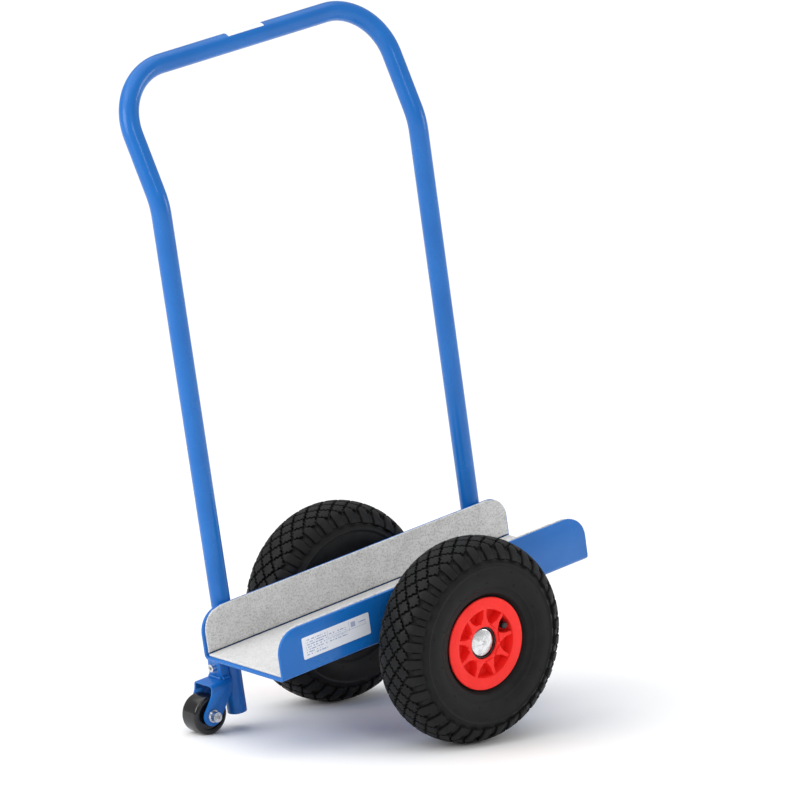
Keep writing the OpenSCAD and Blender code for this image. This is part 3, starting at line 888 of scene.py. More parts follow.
@dataclass
class Trough:
    """The folded trough with its felt lining and label."""

    places: Places
    length: float = 500 * MM
    half_width: float = 79.5 * MM
    flange: float = 62 * MM
    sheet: float = 4 * MM
    corner: float = 30 * MM
    felt: float = 3 * MM
    inset: float = 3 * MM
    seam: float = 1.5 * MM
    fold: float = 2.3 * MM
    rise: float = 0.9 * MM
    cell: float = 4 * MM
    edge: float = 0.8 * MM
    lump_size: float = 22 * MM
    lump_height: float = 0.18 * MM
    # radius of the dark tube that paints the seam's shadow
    glue_radius: float = 0.65 * MM
    fibre_length: float = 5 * MM
    fibre_radius: float = 0.07 * MM
    fibre_arch: float = 0.45 * MM
    fibre_dip: float = 0.1 * MM
    fibre_density: float = 45000.0
    label_size: Point = (106 * MM, 28 * MM)
    label_from: float = 36 * MM

    def build(self) -> None:
        """Builds the trough and everything on it."""
        tray = eased(self.places.frame["nodes"]["tray"], "folded_trough", Slot.BLUE_PAINT, 0.7 * MM)
        mounted(tray, "frame", Slot.BLUE_PAINT, "tray")
        self._floor_felt()
        for name, side in (("far", 1), ("near", -1)):
            self._wall_felt(name, side)
            # a dark tube in each seam under the wall felt: painted shadow of the seam gap
            self._glue_line(name, side)
        self._label()

    def _felt_slab(
        self, name: str, size: Point, outline: Callable[[float, float], Point], place: Matrix, light: bool
    ) -> bpy.types.Object:
        """Builds one cut of felt as a soft-edged slab.

        Args:
            name: the piece's name.
            size: its length and width.
            outline: pulls a point of the flat rectangle in to the cut's rounded outline.
            place: carries the flat cut, top up, to its place.
            light: whether it is the paler felt.

        Returns:
            The finished piece.
        """
        across, up = (max(2, round(s / self.cell)) for s in size)
        shape = Shape()
        edge, thick = self.edge, self.felt
        levels = [  # each a height and how far the edge is drawn in there
            (0.05 * MM, edge), (edge, 0.15 * MM), (thick - edge, 0.0), (thick - 0.2 * MM, edge * 0.55),
        ]
        rim = [(i / across, 0.0) for i in range(across)] + [(1.0, j / up) for j in range(up)]
        rim += [(1 - i / across, 1.0) for i in range(across)] + [(0.0, 1 - j / up) for j in range(up)]

        def spot(u: float, v: float, height: float, pull: float) -> Vector:
            """Returns a point of the cut at a height, pulled in from its edge."""
            x, y = outline(u, v)
            x -= math.copysign(min(pull, abs(x)), x) * (abs(u - 0.5) > 0.499)
            y -= math.copysign(min(pull, abs(y)), y) * (abs(v - 0.5) > 0.499)
            swell = noise.noise(Vector((x, y, len(name))) / self.lump_size) * self.lump_height
            return Vector((x, y, height + swell * (height > thick / 2)))

        shape.loops([[spot(u, v, h, pull) for u, v in rim] for h, pull in levels])
        top = (thick, edge * 1.5)
        for level in (levels[0], top):
            rows = [[spot(i / across, j / up, *level) for i in range(across + 1)] for j in range(up + 1)]
            shape.loops(rows, around=False)
        shape.loops([[spot(u, v, *level) for u, v in rim] for level in (levels[-1], top)])
        finish = Felt((0.72, 0.72, 0.715), (0.30, 0.30, 0.305), 0.42) if light else Felt()
        cloth = shape.object(name, finish.material(f"felt_{name}"), 60)
        return placed(cloth, place)

    def _rounded(self, length: float, height: float, radius: float) -> Callable[[float, float], Point]:
        """Makes the outline of a wall's felt, whose two top corners are rounded.

        Args:
            length: the felt's length.
            height: its height.
            radius: the corners' radius.

        Returns:
            The outline, as a function of the shares of length and height.
        """

        def outline(u: float, v: float) -> Point:
            """Returns a point of the outline from shares of its length and height."""
            x, y = (u - 0.5) * length, (v - 0.5) * height
            reach = y + height / 2 - (height - radius)
            limit = length / 2
            if reach > 0:
                limit -= radius - math.sqrt(max(radius**2 - reach**2, 0.0))
            return x * limit / (length / 2), y

        return outline

    def _floor_felt(self) -> None:
        """Builds the felt on the trough's floor."""
        size = (self.length - 2 * self.inset, 2 * (self.half_width - self.sheet - self.fold))
        place = self.places.trough @ Matrix.Translation((0, 0, self.sheet))
        made = self._felt_slab(
            "floor_lining", size, lambda u, v: ((u - 0.5) * size[0], (v - 0.5) * size[1]), place, True
        )
        self._lined(made, "floor_felt")

    def _wall_felt(self, name: str, side: int) -> None:
        """Builds the felt inside one flange.

        Args:
            name: near or far.
            side: -1 for the near flange and 1 for the far one.
        """
        bottom = self.sheet + self.felt + self.seam
        height = self.flange + self.rise - bottom
        length = self.length - 2 * self.inset
        radius = self.corner - self.inset / 2
        wall = side * (self.half_width - self.sheet)
        place = self.places.trough @ Matrix.Translation((0, wall, bottom + height / 2)) @ standing(-side)
        made = self._felt_slab(
            f"{name}_wall_lining", (length, height), self._rounded(length, height, radius), place, False
        )
        self._lined(made, f"{name}_wall_felt")

    def _glue_line(self, name: str, side: int) -> None:
        """Lays a dark line in the seam under one wall's felt: painted shadow of the seam gap, drawn as a thin
        tube with the black rubber finish.

        Args:
            name: near or far.
            side: -1 for the near flange and 1 for the far one.
        """
        rubber = Slot.TUBE_RUBBER.dressed()
        half = self.length / 2 - 2 * self.inset
        y = side * (self.half_width - self.sheet - self.glue_radius)
        z = self.sheet + self.felt + self.seam / 2
        # the line of painted seam shadow, just under the wall's felt
        line = line_object(f"{name}_glue_line", [Vector((x, y, z)) for x in (-half, 0.0, half)])
        made = path_maker().run(line, Radius=self.glue_radius, Sides=10, Material=rubber)
        placed(tidied(made, rubber), self.places.trough)
        mounted(made, "frame", Slot.TUBE_RUBBER)

    def _lined(self, cloth: bpy.types.Object, node: str) -> None:
        """Args:
            cloth: the felt.
            node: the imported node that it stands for.
        """
        loose = linked(cloth.name.replace("lining", "fibres"), cloth.data.copy())
        hair = self._fibre()
        loose = fibre_maker().run(
            loose, Fibre=hair, Density=self.fibre_density, Seed=len(node), Material=cloth.data.materials[0]
        )
        bpy.data.objects.remove(hair)
        mounted(loose, "frame", Slot.GREY_FELT)
        mounted(cloth, "frame", Slot.GREY_FELT, node)

    def _fibre(self) -> bpy.types.Object:
        """Builds one loose fibre: a thin arch that starts and ends in the felt."""
        shape = Shape()
        rings = []
        for i in range(4):
            along = (i / 3 - 0.5) * self.fibre_length
            rise = self.fibre_arch * math.cos(math.pi * (i / 3 - 0.5)) - self.fibre_dip
            section = arc((0.0, rise), (self.fibre_radius, self.fibre_radius), 90, 330, 2)
            rings.append([Vector((along, y, z)) for y, z in section])
        shape.loops(rings)
        shape.faces.append((0, 1, 2))
        shape.faces.append((11, 10, 9))
        return shape.object("felt_fibre", Slot.GREY_FELT.dressed(), 80)

    def _label(self) -> None:
        """Builds the label on the near flange, with rounded corners and generic strokes."""
        length, height = self.label_size
        radius, thick = 2 * MM, 0.25 * MM
        ring = []
        for cx, cy, start in ((1, 1, 0), (-1, 1, 90), (-1, -1, 180), (1, -1, 270)):
            corner = (cx * (length / 2 - radius), cy * (height / 2 - radius))
            ring += [Vector((x, y, 0)) for x, y in arc(corner, (radius, radius), start, start + 90, 6)]
        shape = Shape()
        top = [p + Vector((0, 0, thick)) for p in ring]
        shape.loops([ring, top])
        shape.lid(ring, Vector((0, 0, 0)))
        shape.lid(top, Vector((0, 0, thick)))
        made = shape.object("printed_label", PrintedFilm().material("printed_film"), 30)
        layer = made.data.uv_layers.new(name="label")
        for loop in made.data.loops:
            spot = made.data.vertices[loop.vertex_index].co
            layer.data[loop.index].uv = (spot.x / length + 0.5, spot.y / height + 0.5)
        centre = (-self.length / 2 + self.label_from + length / 2, -self.half_width, self.flange / 2 + MM)
        placed(made, self.places.trough @ Matrix.Translation(centre) @ standing(-1))
        mounted(made, "frame", Slot.WHITE_FILM, "rating_label")


# ------------------------------------------------------------------ handle and welds


@dataclass
class Handle:
    """The bent tube, its welds and the beads under the trough."""

    places: Places
    tube: float = 12.5 * MM
    wall: float = 2 * MM
    leg_x: float = 205 * MM
    leg_y: float = 92 * MM
    tail: float = 87 * MM
    neck: float = 12 * MM
    kink_height: float = 575 * MM
    lean: float = 22.0
    upper: float = 164 * MM
    kink_radius: float = 80 * MM
    bar_radius: float = 75 * MM
    bead: float = 3.2 * MM
    ripple: float = 2.1 * MM
    leg_bead: Point = (9 * MM, 55 * MM)
    stitch: float = 34 * MM
    stitch_step: float = 52.3 * MM
    stitch_side: float = 10.2 * MM
    neck_half: float = 12 * MM
    neck_foot: float = 33.4 * MM

    def build(self) -> None:
        """Builds the tube and every weld."""
        paint = Slot.BLUE_PAINT.dressed()
        line = line_object("push_handle", self._route())
        made = path_maker().run(line, Radius=self.tube, Sides=48, Material=paint)
        with edited(made.data) as work:
            bmesh.ops.recalc_face_normals(work, faces=work.faces)
            if work.calc_volume(signed=True) < 0:
                bmesh.ops.reverse_faces(work, faces=work.faces)
        thick = made.modifiers.new("wall", "SOLIDIFY")
        thick.thickness = self.wall
        thick.offset = -1
        thick.use_rim = True
        made = tidied(evaluated(made), paint)
        placed(made, self.places.trough)
        mounted(made, "frame", Slot.BLUE_PAINT, "handle_tube")
        self._welds()

    def _route(self) -> list[Vector]:
        """Returns the tube's centre line, from the castor's leg over the grip to the other leg."""
        lean = math.radians(self.lean)
        up = Vector((0, math.sin(lean), math.cos(lean)))
        corners = [
            Vector((-self.leg_x, self.leg_y, -self.tail)),
            Vector((-self.leg_x, self.leg_y, self.kink_height)),
            Vector((-self.leg_x, self.leg_y, self.kink_height)) + up * self.upper,
            Vector((self.leg_x, self.leg_y, self.kink_height)) + up * self.upper,
            Vector((self.leg_x, self.leg_y, self.kink_height)),
            Vector((self.leg_x, self.leg_y, 0)),
        ]
        radii = [self.kink_radius, self.bar_radius, self.bar_radius, self.kink_radius]
        route = [corners[0]]
        for before, here, after, radius in zip(corners, corners[1:], corners[2:], radii):
            route += bend(before, here, after, radius)
        return [*route, corners[-1]]

    def _welds(self) -> None:
        """Lays the beads beside the legs, under the trough and at the castor's neck."""
        thin = self.bead * 0.72
        reach = self.tube * 0.66
        y = self.leg_y - self.tube + 1.4 * MM
        legs = [
            [Vector((x + side * reach, y, z)) for z in self.leg_bead]
            for x in (-self.leg_x, self.leg_x) for side in (-1, 1)
        ]
        self._beads("leg_welds", legs, thin, "handle_welds")
        low = -self.bead / 2
        stitches = [
            [Vector((side * self.stitch_side, y + end * self.stitch / 2, low)) for end in (-1, 1)]
            for side in (-1, 1) for y in (-self.stitch_step, 0, self.stitch_step)
        ]
        self._beads("axle_welds", stitches, thin, "axle_tube_welds")
        front = -self.leg_x - self.tube - self.neck
        edges = [
            [
                Vector((front - 0.4 * MM, self.leg_y + end * self.neck_half, -self.neck_foot))
                for end in (-1, 1)
            ]
        ]
        edges += [
            [
                Vector((x, self.leg_y + side * (self.neck_half + MM), -self.neck_foot))
                for x in (front + MM, front + 0.85 * self.neck)
            ]
            for side in (-1, 1)
        ]
        self._beads("neck_weld", edges, self.bead * 0.8, "castor_weld")

    def _beads(self, name: str, ends: list[list[Vector]], radius: float, node: str) -> None:
        """Lays rippled beads as one piece.

        Args:
            name: the piece's name.
            ends: the two ends of each bead.
            radius: the beads' radius.
            node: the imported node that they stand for.
        """
        paint = Slot.BLUE_PAINT.dressed()
        made = bead_maker().run(line_object(name, *ends), Radius=radius, Ripple=self.ripple, Material=paint)
        placed(tidied(made, paint, 75), self.places.trough)
        mounted(made, "frame", Slot.BLUE_PAINT, node)


def bend(before: Vector, here: Vector, after: Vector, radius: float) -> list[Vector]:
    """Rounds a corner.

    Args:
        before: the corner before it.
        here: the corner.
        after: the corner after it.
        radius: the bend's radius.

    Returns:
        Points along the round bend.
    """
    back, ahead = (before - here).normalized(), (after - here).normalized()
    opening = back.angle(ahead)
    trim = radius / math.tan(opening / 2)
    centre = here + (back + ahead).normalized() * (radius / math.sin(opening / 2))
    start = here + back * trim - centre
    sweep = math.pi - opening
    axis = start.cross(here + ahead * trim - centre).normalized()
    steps = max(6, round(math.degrees(sweep) / 3))
    return [centre + Matrix.Rotation(sweep * i / steps, 3, axis) @ start for i in range(steps + 1)]


# ------------------------------------------------------------------ main wheels


@dataclass
class Tread:
    """A tyre's section and the blocks on it, in the wheel's own frame."""

    crown: float = 130 * MM
    seat: float = 50.8 * MM
    half_width: float = 42.5 * MM
    power: float = 2.3
    groove: float = 4.2 * MM
    pitches: int = 34
    row: float = 21 * MM
    gap: float = 3.3 * MM
    jog: float = 1.3 * MM
    low_top: float = 2.5 * MM
    lug_half: float = 0.255
    lug_end: float = 2.3
    low_half: float = 0.19
    low_span: Point = (1.56, 2.24)
    samples: int = 240

    def __post_init__(self) -> None:
        """Measures the section's outline from the crown outwards."""
        self.half_height = (self.crown - self.seat + MM) / 2
        self.middle = self.crown - self.half_height
        self.table: list[tuple[float, Vector]] = [(0.0, self.section(0.0))]
        for i in range(1, self.samples + 1):
            spot = self.section(math.pi * 0.62 * i / self.samples)
            self.table.append((self.table[-1][0] + (spot - self.table[-1][1]).length, spot))

    def section(self, turn: float) -> Vector:
        """Returns radius and height on the outline, at a turn from the crown."""
        c, s = math.cos(turn), math.sin(turn)
        bow = 2 / self.power
        radius = self.middle + self.half_height * math.copysign(abs(c) ** bow, c)
        return Vector((radius, self.half_width * math.copysign(abs(s) ** bow, s)))

    def across(self, reach: float) -> Vector:
        """Finds a place on the section's outline.

        Args:
            reach: the arc length from the crown, either way.

        Returns:
            Its radius and height.
        """
        far = abs(reach)
        low, high = 0, len(self.table) - 1
        while high - low > 1:
            half = (low + high) // 2
            low, high = (half, high) if self.table[half][0] <= far else (low, half)
        (a, p), (b, q) = self.table[low], self.table[high]
        spot = p.lerp(q, min(1.0, (far - a) / (b - a)))
        return Vector((spot.x, math.copysign(spot.y, reach)))

    def point(self, around: float, reach: float, depth: float) -> Vector:
        """Returns a point on the tyre.

        Args:
            around: distance around the crown from local X.
            reach: distance across from the crown.
            depth: how far it lies below the outline.

        Returns:
            The point in the wheel's frame.
        """
        here = self.across(reach)
        ahead = self.across(reach + 0.4 * MM) - self.across(reach - 0.4 * MM)
        normal = Vector((ahead.y, -ahead.x)).normalized()
        spot = here - normal * depth
        turn = around / self.crown
        return Vector((spot.x * math.cos(turn), spot.x * math.sin(turn), spot.y))

    def block(self, shape: Shape, outline: list[Point], sink: float, top: float = 0.0) -> None:
        """Adds one raised block with drafted sides and a rounded edge.

        Args:
            shape: the shape to add it to.
            outline: its points, each a distance around and across.
            sink: how far its foot lies below the tyre's outline.
            top: how far its top lies below that.
        """
        cx = sum(p[0] for p in outline) / len(outline)
        cy = sum(p[1] for p in outline) / len(outline)

        def ring(share: float, pull: float, depth: float) -> list[Vector]:
            """Returns the outline shrunk towards its middle at a depth."""
            spots = []
            for x, y in outline:
                size = max(math.hypot(x - cx, y - cy), 1e-9)
                keep = share * (1 - pull / size)
                spots.append(self.point(cx + (x - cx) * keep, cy + (y - cy) * keep, depth))
            return spots

        rings = [
            ring(1.0, -0.35 * MM, sink), ring(1.0, 0.0, top + 0.55 * MM),
            ring(1.0, 0.25 * MM, top + 0.15 * MM), ring(1.0, 0.7 * MM, top), ring(0.5, 0.4 * MM, top),
        ]
        shape.loops(rings)
        shape.lid(rings[-1], self.point(cx, cy, top))
        shape.lid(rings[0], self.point(cx, cy, sink))

    def diamond(self, cx: float, cy: float, half_x: float, half_y: float) -> list[Point]:
        """Returns a diamond whose sides zigzag in square steps.

        Args:
            cx: its middle, around.
            cy: its middle, across.
            half_x: half its length around.
            half_y: half its width across.

        Returns:
            The outline.
        """
        steps = (  # share along the side, and which way it stands off
            (0.05, -0.5), (0.27, -0.5), (0.31, 0.5), (0.49, 0.5),
            (0.51, -0.5), (0.69, -0.5), (0.73, 0.5), (0.95, 0.5),
        )
        corners = [(half_x, 0.0), (0.0, half_y), (-half_x, 0.0), (0.0, -half_y)]
        outline: list[Point] = []
        for (ax, ay), (bx, by) in zip(corners, corners[1:] + corners[:1]):
            length = math.hypot(bx - ax, by - ay)
            nx, ny = (by - ay) / length * self.jog, -(bx - ax) / length * self.jog
            for share, side in steps:
                x, y = ax + (bx - ax) * share + nx * side, ay + (by - ay) * share + ny * side
                outline.append((cx + x, cy + y))
        return outline

    def sector(self) -> Shape:
        """Returns the blocks of one pitch of the tread."""
        shape = Shape()
        pitch = 2 * math.pi * self.crown / self.pitches
        spare = self.gap * 1.35
        half_x, half_y = (pitch - spare) / 2, (self.row - spare) / 2
        sink = self.groove + 0.8 * MM
        for step in (0, -1, 1, -2, 2):
            middle = (abs(step) % 2 * pitch / 2, step * self.row / 2)
            self.block(shape, self.diamond(*middle, half_x, half_y), sink)
        for side in (-1, 1):
            start, stop = self.row + self.gap / 3, self.row * self.lug_end
            self.block(shape, self.lug(pitch / 2, side, pitch * self.lug_half, start, stop), sink)
            start, stop = (self.row * share for share in self.low_span)
            low = self.lug(0.0, side, pitch * self.low_half, start, stop)
            self.block(shape, low, sink, self.low_top)
        return shape

    def lug(self, cx: float, side: int, half: float, start: float, stop: float) -> list[Point]:
        """Returns a shoulder lug: a point towards the crown and a square outer end.

        Args:
            cx: its middle, around.
            side: -1 or 1, the shoulder that it is on.
            half: half its width around.
            start: where it starts, across.
            stop: where it stops, across.

        Returns:
            The outline.
        """
        neck = start + half * 0.85
        corners = [(-half, stop), (-half, neck), (0.0, start), (half, neck), (half, stop)]
        outline: list[Point] = []
        for (ax, ay), (bx, by) in zip(corners, corners[1:] + corners[:1]):
            for share in (0.05, 0.35, 0.65, 0.95):
                outline.append((cx + ax + (bx - ax) * share, side * (ay + (by - ay) * share)))
        return outline


@dataclass
class Tyre:
    """One tyre: carcass, tread, sidewall ridges and moulding nubs."""

    tread: Tread
    steps: int = 170
    section_steps: int = 105
    rim_seat: float = 59 * MM
    foot: float = 51.2 * MM
    lip: float = 27.4 * MM
    heel: Point = (62 * MM, 20 * MM)
    chamber: Point = (28 * MM, 33 * MM)
    shoulder: float = 100.5 * MM
    shoulder_width: float = 7 * MM
    sidewall_sink: float = 1.9 * MM
    ridges: tuple[tuple[float, float, float], ...] = (
        (99.0 * MM, 0.9 * MM, 1.5 * MM), (86.0 * MM, 9.0 * MM, 0.7 * MM),
        (72.5 * MM, 1.0 * MM, 0.8 * MM), (64.0 * MM, 2.2 * MM, 1.3 * MM),
    )

    def build(self, name: str, place: Matrix, body: str) -> None:
        """Builds the tyre on a wheel.

        Args:
            name: near or far.
            place: the wheel's frame.
            body: the body it rides on.
        """
        shape = Shape()
        shape.lathe(self._profile(), self.steps, closed=True)
        rubber = Slot.TREAD_RUBBER.dressed()
        carcass = shape.object(f"{name}_block_tyre", rubber, 60)
        sector = self.tread.sector().object("tread_sector", rubber, 50)
        made = round_axis_maker().run(carcass, Sector=sector, Count=self.tread.pitches, Material=rubber)
        nub = self._nubs().object("tyre_nubs", rubber, 40)
        made = round_axis_maker().run(made, Sector=nub, Count=11, Material=rubber)
        for spare in (sector, nub):
            bpy.data.objects.remove(spare)
        mounted(placed(made, place), body, Slot.TREAD_RUBBER, f"{name}_tyre")

    def _ridge(self, radius: float) -> float:
        """Returns how far the sidewall stands proud at a radius."""
        return sum(
            height * math.exp(-(((radius - at) / width) ** 2)) for at, width, height in self.ridges
        )

    def _profile(self) -> list[Point]:
        """Returns the carcass's closed section, sunk by a groove's depth under the tread."""
        t = self.tread
        outer = []
        for i in range(-self.section_steps, self.section_steps + 1):
            turn = math.pi * 0.985 * i / self.section_steps
            spot = t.section(turn)
            if spot.x < self.rim_seat and abs(turn) > 1:
                continue
            shoulder = min(max((spot.x - self.shoulder) / self.shoulder_width, 0.0), 1.0)
            sink = (t.groove - self.sidewall_sink) * shoulder * shoulder * (3 - 2 * shoulder)
            ahead = t.section(turn + 0.01) - t.section(turn - 0.01)
            normal = Vector((ahead.y, -ahead.x)).normalized()
            proud = self._ridge(spot.x) if abs(turn) > 1 else 0.0
            spot = spot - normal * (sink + self.sidewall_sink - min(proud, self.sidewall_sink))
            outer.append((spot.x, spot.y))
        inner = [(self.rim_seat, self.lip), (self.foot, self.lip), (self.foot, self.heel[1]), self.heel]
        hollow = arc((t.middle, 0.0), self.chamber, 140, -140, 20)
        mirrored = [(r, -z) for r, z in reversed(inner)]
        return outer + inner + hollow + mirrored

    def _nubs(self) -> Shape:
        """Returns a few moulding nubs on both sidewalls, for one eleventh of the way round."""
        shape = Shape()
        for degrees, radius in ((4.0, 64.5 * MM), (19.0, 79.0 * MM), (27.0, 93.0 * MM)):
            turn, reach = math.radians(degrees), self._height_at(radius)
            at = (math.cos(turn) * radius, math.sin(turn) * radius)
            for side in (-1, 1):
                rings = [
                    [Vector((x, y, side * (reach + height))) for x, y in arc(at, (size, size), 0, 300, 5)]
                    for size, height in ((MM, -0.5 * MM), (0.9 * MM, 0.6 * MM), (0.5 * MM, 1.1 * MM))
                ]
                shape.loops(rings)
                shape.lid(rings[-1], Vector((*at, side * (reach + 1.15 * MM))))
                shape.lid(rings[0], Vector((*at, side * (reach - 0.5 * MM))))
        return shape

    def _height_at(self, radius: float) -> float:
        """Returns the sidewall's height at a radius."""
        t = self.tread
        share = min(abs(radius - t.middle) / t.half_height, 1.0)
        return t.half_width * (1 - share**t.power) ** (1 / t.power) - self.sidewall_sink


@dataclass
class MainWheel:
    """One air-tyred wheel with its rim, hub ring, cap and valve."""

    places: Places
    name: str
    side: int
    tyre: Tyre
    cap_radius: float = 17.5 * MM
    cap_from: float = 21.3 * MM
    cap_height: float = 5.7 * MM
    cap_edge: float = 1.6 * MM
    cap_dome: float = 2.2 * MM
    valve_at: float = 36 * MM
    valve_turn: float = 21.0
    valve_top: float = 26 * MM

    def build(self) -> None:
        """Builds the wheel's pieces."""
        body = f"{self.name}_wheel"
        place = self.places.wheel(body, self.side)
        nodes = self.places.frame["nodes"]
        self.tyre.build(self.name, place, body)
        rim = eased(nodes[f"{self.name}_rim"], f"{self.name}_moulded_rim", Slot.RED_PLASTIC, 0.8 * MM)
        mounted(rim, body, Slot.RED_PLASTIC, f"{self.name}_rim")
        ring = eased(nodes[f"{self.name}_hub_ring"], f"{self.name}_seal_ring", Slot.BLACK_NYLON, 0.5 * MM)
        mounted(ring, body, Slot.BLACK_NYLON, f"{self.name}_hub_ring")
        self._cap(place)
        self._valve(place, body)

    def _cap(self, place: Matrix) -> None:
        """Builds the pressed cap over the axle's end, with its centre dimple."""
        r, top = self.cap_radius, self.cap_from + self.cap_height
        edge, dome = self.cap_edge, self.cap_dome
        profile = [(r, self.cap_from), (r, top - dome - edge)]
        profile += arc((r - edge, top - dome - edge), (edge, edge), 0, 75, 5)
        profile += [
            ((r - edge) * share, top - dome * share**2) for share in (0.98, 0.85, 0.7, 0.55, 0.4, 0.28)
        ]
        profile += [(2.4 * MM, top - 0.3 * MM)]
        profile += [(1.5 * MM, top - 1.5 * MM), (0.0, top - 1.7 * MM)]
        profile += [(0.0, self.cap_from + MM), (r - MM, self.cap_from + MM), (r - MM, self.cap_from)]
        shape = Shape()
        shape.lathe(profile, 72, closed=True)
        made = shape.object(f"{self.name}_pressed_cap", Slot.ZINC_PLATE.dressed(), 40)
        mounted(placed(made, place), "frame", Slot.ZINC_PLATE, "axle_caps")

    def _valve(self, place: Matrix, body: str) -> None:
        """Builds the valve's ribbed dust cap.

        Args:
            place: the wheel's frame.
            body: the body that it rides on.
        """
        nylon = Slot.BLACK_NYLON.dressed()
        core, height = 3.9 * MM, 5.4 * MM
        shape = Shape()
        shape.lathe([(0, 0), (core, 0), (core, height - MM), (core - MM, height), (0, height)], 36)
        cap = shape.object(f"{self.name}_dust_cap", nylon)
        rib = Shape()
        section = ((-0.4, -0.4), (0.7, -0.28), (0.7, 0.28), (-0.4, 0.4))
        rings = [
            [Vector((core + dx * MM, dy * MM, z)) for dx, dy in section]
            for z in (0.3 * MM, height - 1.3 * MM)
        ]
        rib.loops(rings)
        for ring in rings:
            rib.lid(ring, sum(ring, Vector()) / 4)
        spare = rib.object("cap_rib", nylon, 20)
        made = round_axis_maker().run(cap, Sector=spare, Count=14, Material=nylon)
        bpy.data.objects.remove(spare)
        turn = Matrix.Rotation(math.radians(self.valve_turn), 4, "Z")
        placed(made, place @ turn @ Matrix.Translation((self.valve_at, 0, self.valve_top)))
        mounted(made, body, Slot.BLACK_NYLON, f"{self.name}_valve_cap")


# ------------------------------------------------------------------ castor


@dataclass
class Castor:
    """The small fixed castor at the trough's end."""

    places: Places
    radius: float = 25 * MM
    half_width: float = 15 * MM
    hub: float = 8.1 * MM
    shoulder: float = 4 * MM

    def build(self) -> None:
        """Builds the fork, the neck and the wheel."""
        nodes = self.places.frame["nodes"]
        for node, name, radius in (("castor_fork", "castor_bracket", 0.6), ("castor_neck", "neck_bar", 1.1)):
            made = eased(nodes[node], name, Slot.BLUE_PAINT, radius * MM)
            mounted(made, "frame", Slot.BLUE_PAINT, node)
        shape = Shape()
        shape.lathe(self._profile(), 96, closed=True)
        made = shape.object("castor_roller", Slot.BLACK_NYLON.dressed(), 35)
        low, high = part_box("castor_wheel")
        placed(made, Matrix.Translation((low + high) / 2) @ standing(-1))
        mounted(made, "castor", Slot.BLACK_NYLON, "castor_wheel")

    def _profile(self) -> list[Point]:
        """Returns the wheel's closed section: rounded tread, a fine step and a recessed web."""
        half, r, s = self.half_width, self.radius, self.shoulder
        step, web = half - 0.7 * MM, half - 3 * MM
        right: list[Point] = [(r - 0.02 * MM, 0.0), *arc((r - s, half - s), (s, s), 0, 90, 9)]
        right += [
            (r - 5.2 * MM, half), (r - 5.6 * MM, step), (r - 6.4 * MM, step), (r - 7.0 * MM, web),
            (self.hub + 4 * MM, web), (self.hub + 3 * MM, half), (self.hub, half),
        ]
        return right + [(x, -z) for x, z in reversed(right[1:])]


# ------------------------------------------------------------------ studio


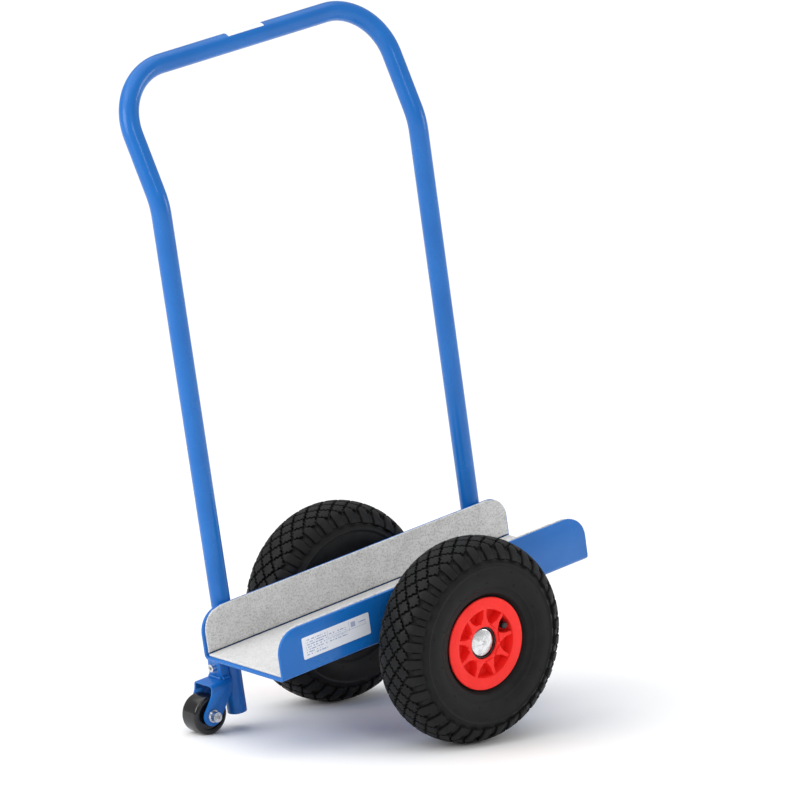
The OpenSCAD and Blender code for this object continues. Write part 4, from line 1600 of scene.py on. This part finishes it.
@dataclass
class Studio:
    """A pale floor, soft lamps and the camera."""

    aim: tuple[float, float, float] = (0.0738, 0.0377, 0.4028)
    place: tuple[float, float, float] = (-3.845, -4.759, 1.515)
    roll: float = 0.8
    lens: float = 225.0
    sensor: float = 36.0
    even_light: float = 0.55
    floor_half: float = 60.0

    def build(self) -> None:
        """Builds the stage, the lamps and the camera."""
        self._floor()
        self._lamps()
        self._camera()

    def _floor(self) -> None:
        """Lays the floor."""
        shape = Shape()
        ends = (-self.floor_half, self.floor_half)
        shape.loops([[Vector((x, y, 0)) for x in ends] for y in ends], around=False)
        s = Surface("studio_floor", Specular_IOR_Level=0.1)
        cloud = s.noise(0.6, 2)
        tone = s.mix(cloud * 0.1, (0.93, 0.93, 0.93), (0.90, 0.90, 0.90))
        s.set(Base_Color=tone, Roughness=0.85 + cloud * 0.1)
        made = shape.object("studio_floor", s.material)
        if made.data.polygons[0].normal.z < 0:
            made.data.flip_normals()

    def _lamps(self) -> None:
        """Hangs the soft lamps and sets the even light around them."""
        world = bpy.data.worlds.new("studio")
        bpy.context.scene.world = world
        world.use_nodes = True
        background = world.node_tree.nodes["Background"]
        background.inputs[0].default_value = (1.0, 1.0, 1.0, 1.0)
        background.inputs[1].default_value = self.even_light
        for name, spot, spread, power in (
            ("sky", (-0.3, 0.5, 3.0), 80.0, 1.45), ("key", (-3.0, 0.6, 2.6), 50.0, 0.8),
        ):
            light = bpy.data.lights.new(name, "SUN")
            light.angle = math.radians(spread)
            light.energy = power
            self._aimed(name, light, spot)
        for name, spot, size, power in (
            ("left_panel", (-2.6, 0.4, 1.3), 1.5, 22.0),
            ("right_panel", (2.4, -1.9, 1.2), 1.2, 18.0),
            ("front_panel", (-1.4, -3.4, 2.6), 1.0, 12.0),
        ):
            light = bpy.data.lights.new(name, "AREA")
            light.shape = "DISK"
            light.size = size
            light.energy = power
            self._aimed(name, light, spot)

    def _aimed(self, name: str, light: bpy.types.Light, spot: tuple[float, float, float]) -> None:
        """Hangs a lamp and turns it to the truck.

        Args:
            name: the lamp's name.
            light: its light.
            spot: where it hangs.
        """
        lamp = linked(name, light)
        lamp.location = spot
        lamp.rotation_euler = (Vector(self.aim) - Vector(spot)).to_track_quat("-Z", "Y").to_euler()

    def _camera(self) -> None:
        """Sets up the camera."""
        data = bpy.data.cameras.new("camera")
        data.lens = self.lens
        data.sensor_width = self.sensor
        data.clip_end = 200.0
        camera = linked("camera", data)
        towards = (Vector(self.aim) - Vector(self.place)).to_track_quat("-Z", "Y").to_matrix().to_4x4()
        turn = Matrix.Rotation(math.radians(self.roll), 4, "Z")
        camera.matrix_world = Matrix.Translation(self.place) @ towards @ turn
        bpy.context.scene.camera = camera
        bpy.context.scene.view_settings.view_transform = "Standard"


def dress_nodes(frame: dict) -> None:
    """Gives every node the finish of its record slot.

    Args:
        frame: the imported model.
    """
    slots = {row["node"]: row["material_slot"] for row in frame["record"]["subparts"]}
    for name, node in frame["nodes"].items():
        slot = Slot[slots[name].upper()]
        for place in node.material_slots:
            place.material = slot.dressed()
        log.info("%s: %s", name, slot.name.lower())


def main() -> None:
    """Builds the truck around its frame and reports each piece."""
    logging.basicConfig(level=logging.INFO, format="%(message)s")
    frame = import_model()
    Studio().build()
    dress_nodes(frame)
    places = Places(frame)
    Trough(places).build()
    Handle(places).build()
    tyre = Tyre(Tread())
    for name, side in (("near", -1), ("far", 1)):
        MainWheel(places, name, side, tyre).build()
    Castor(places).build()


if __name__ == "__main__":
    main()
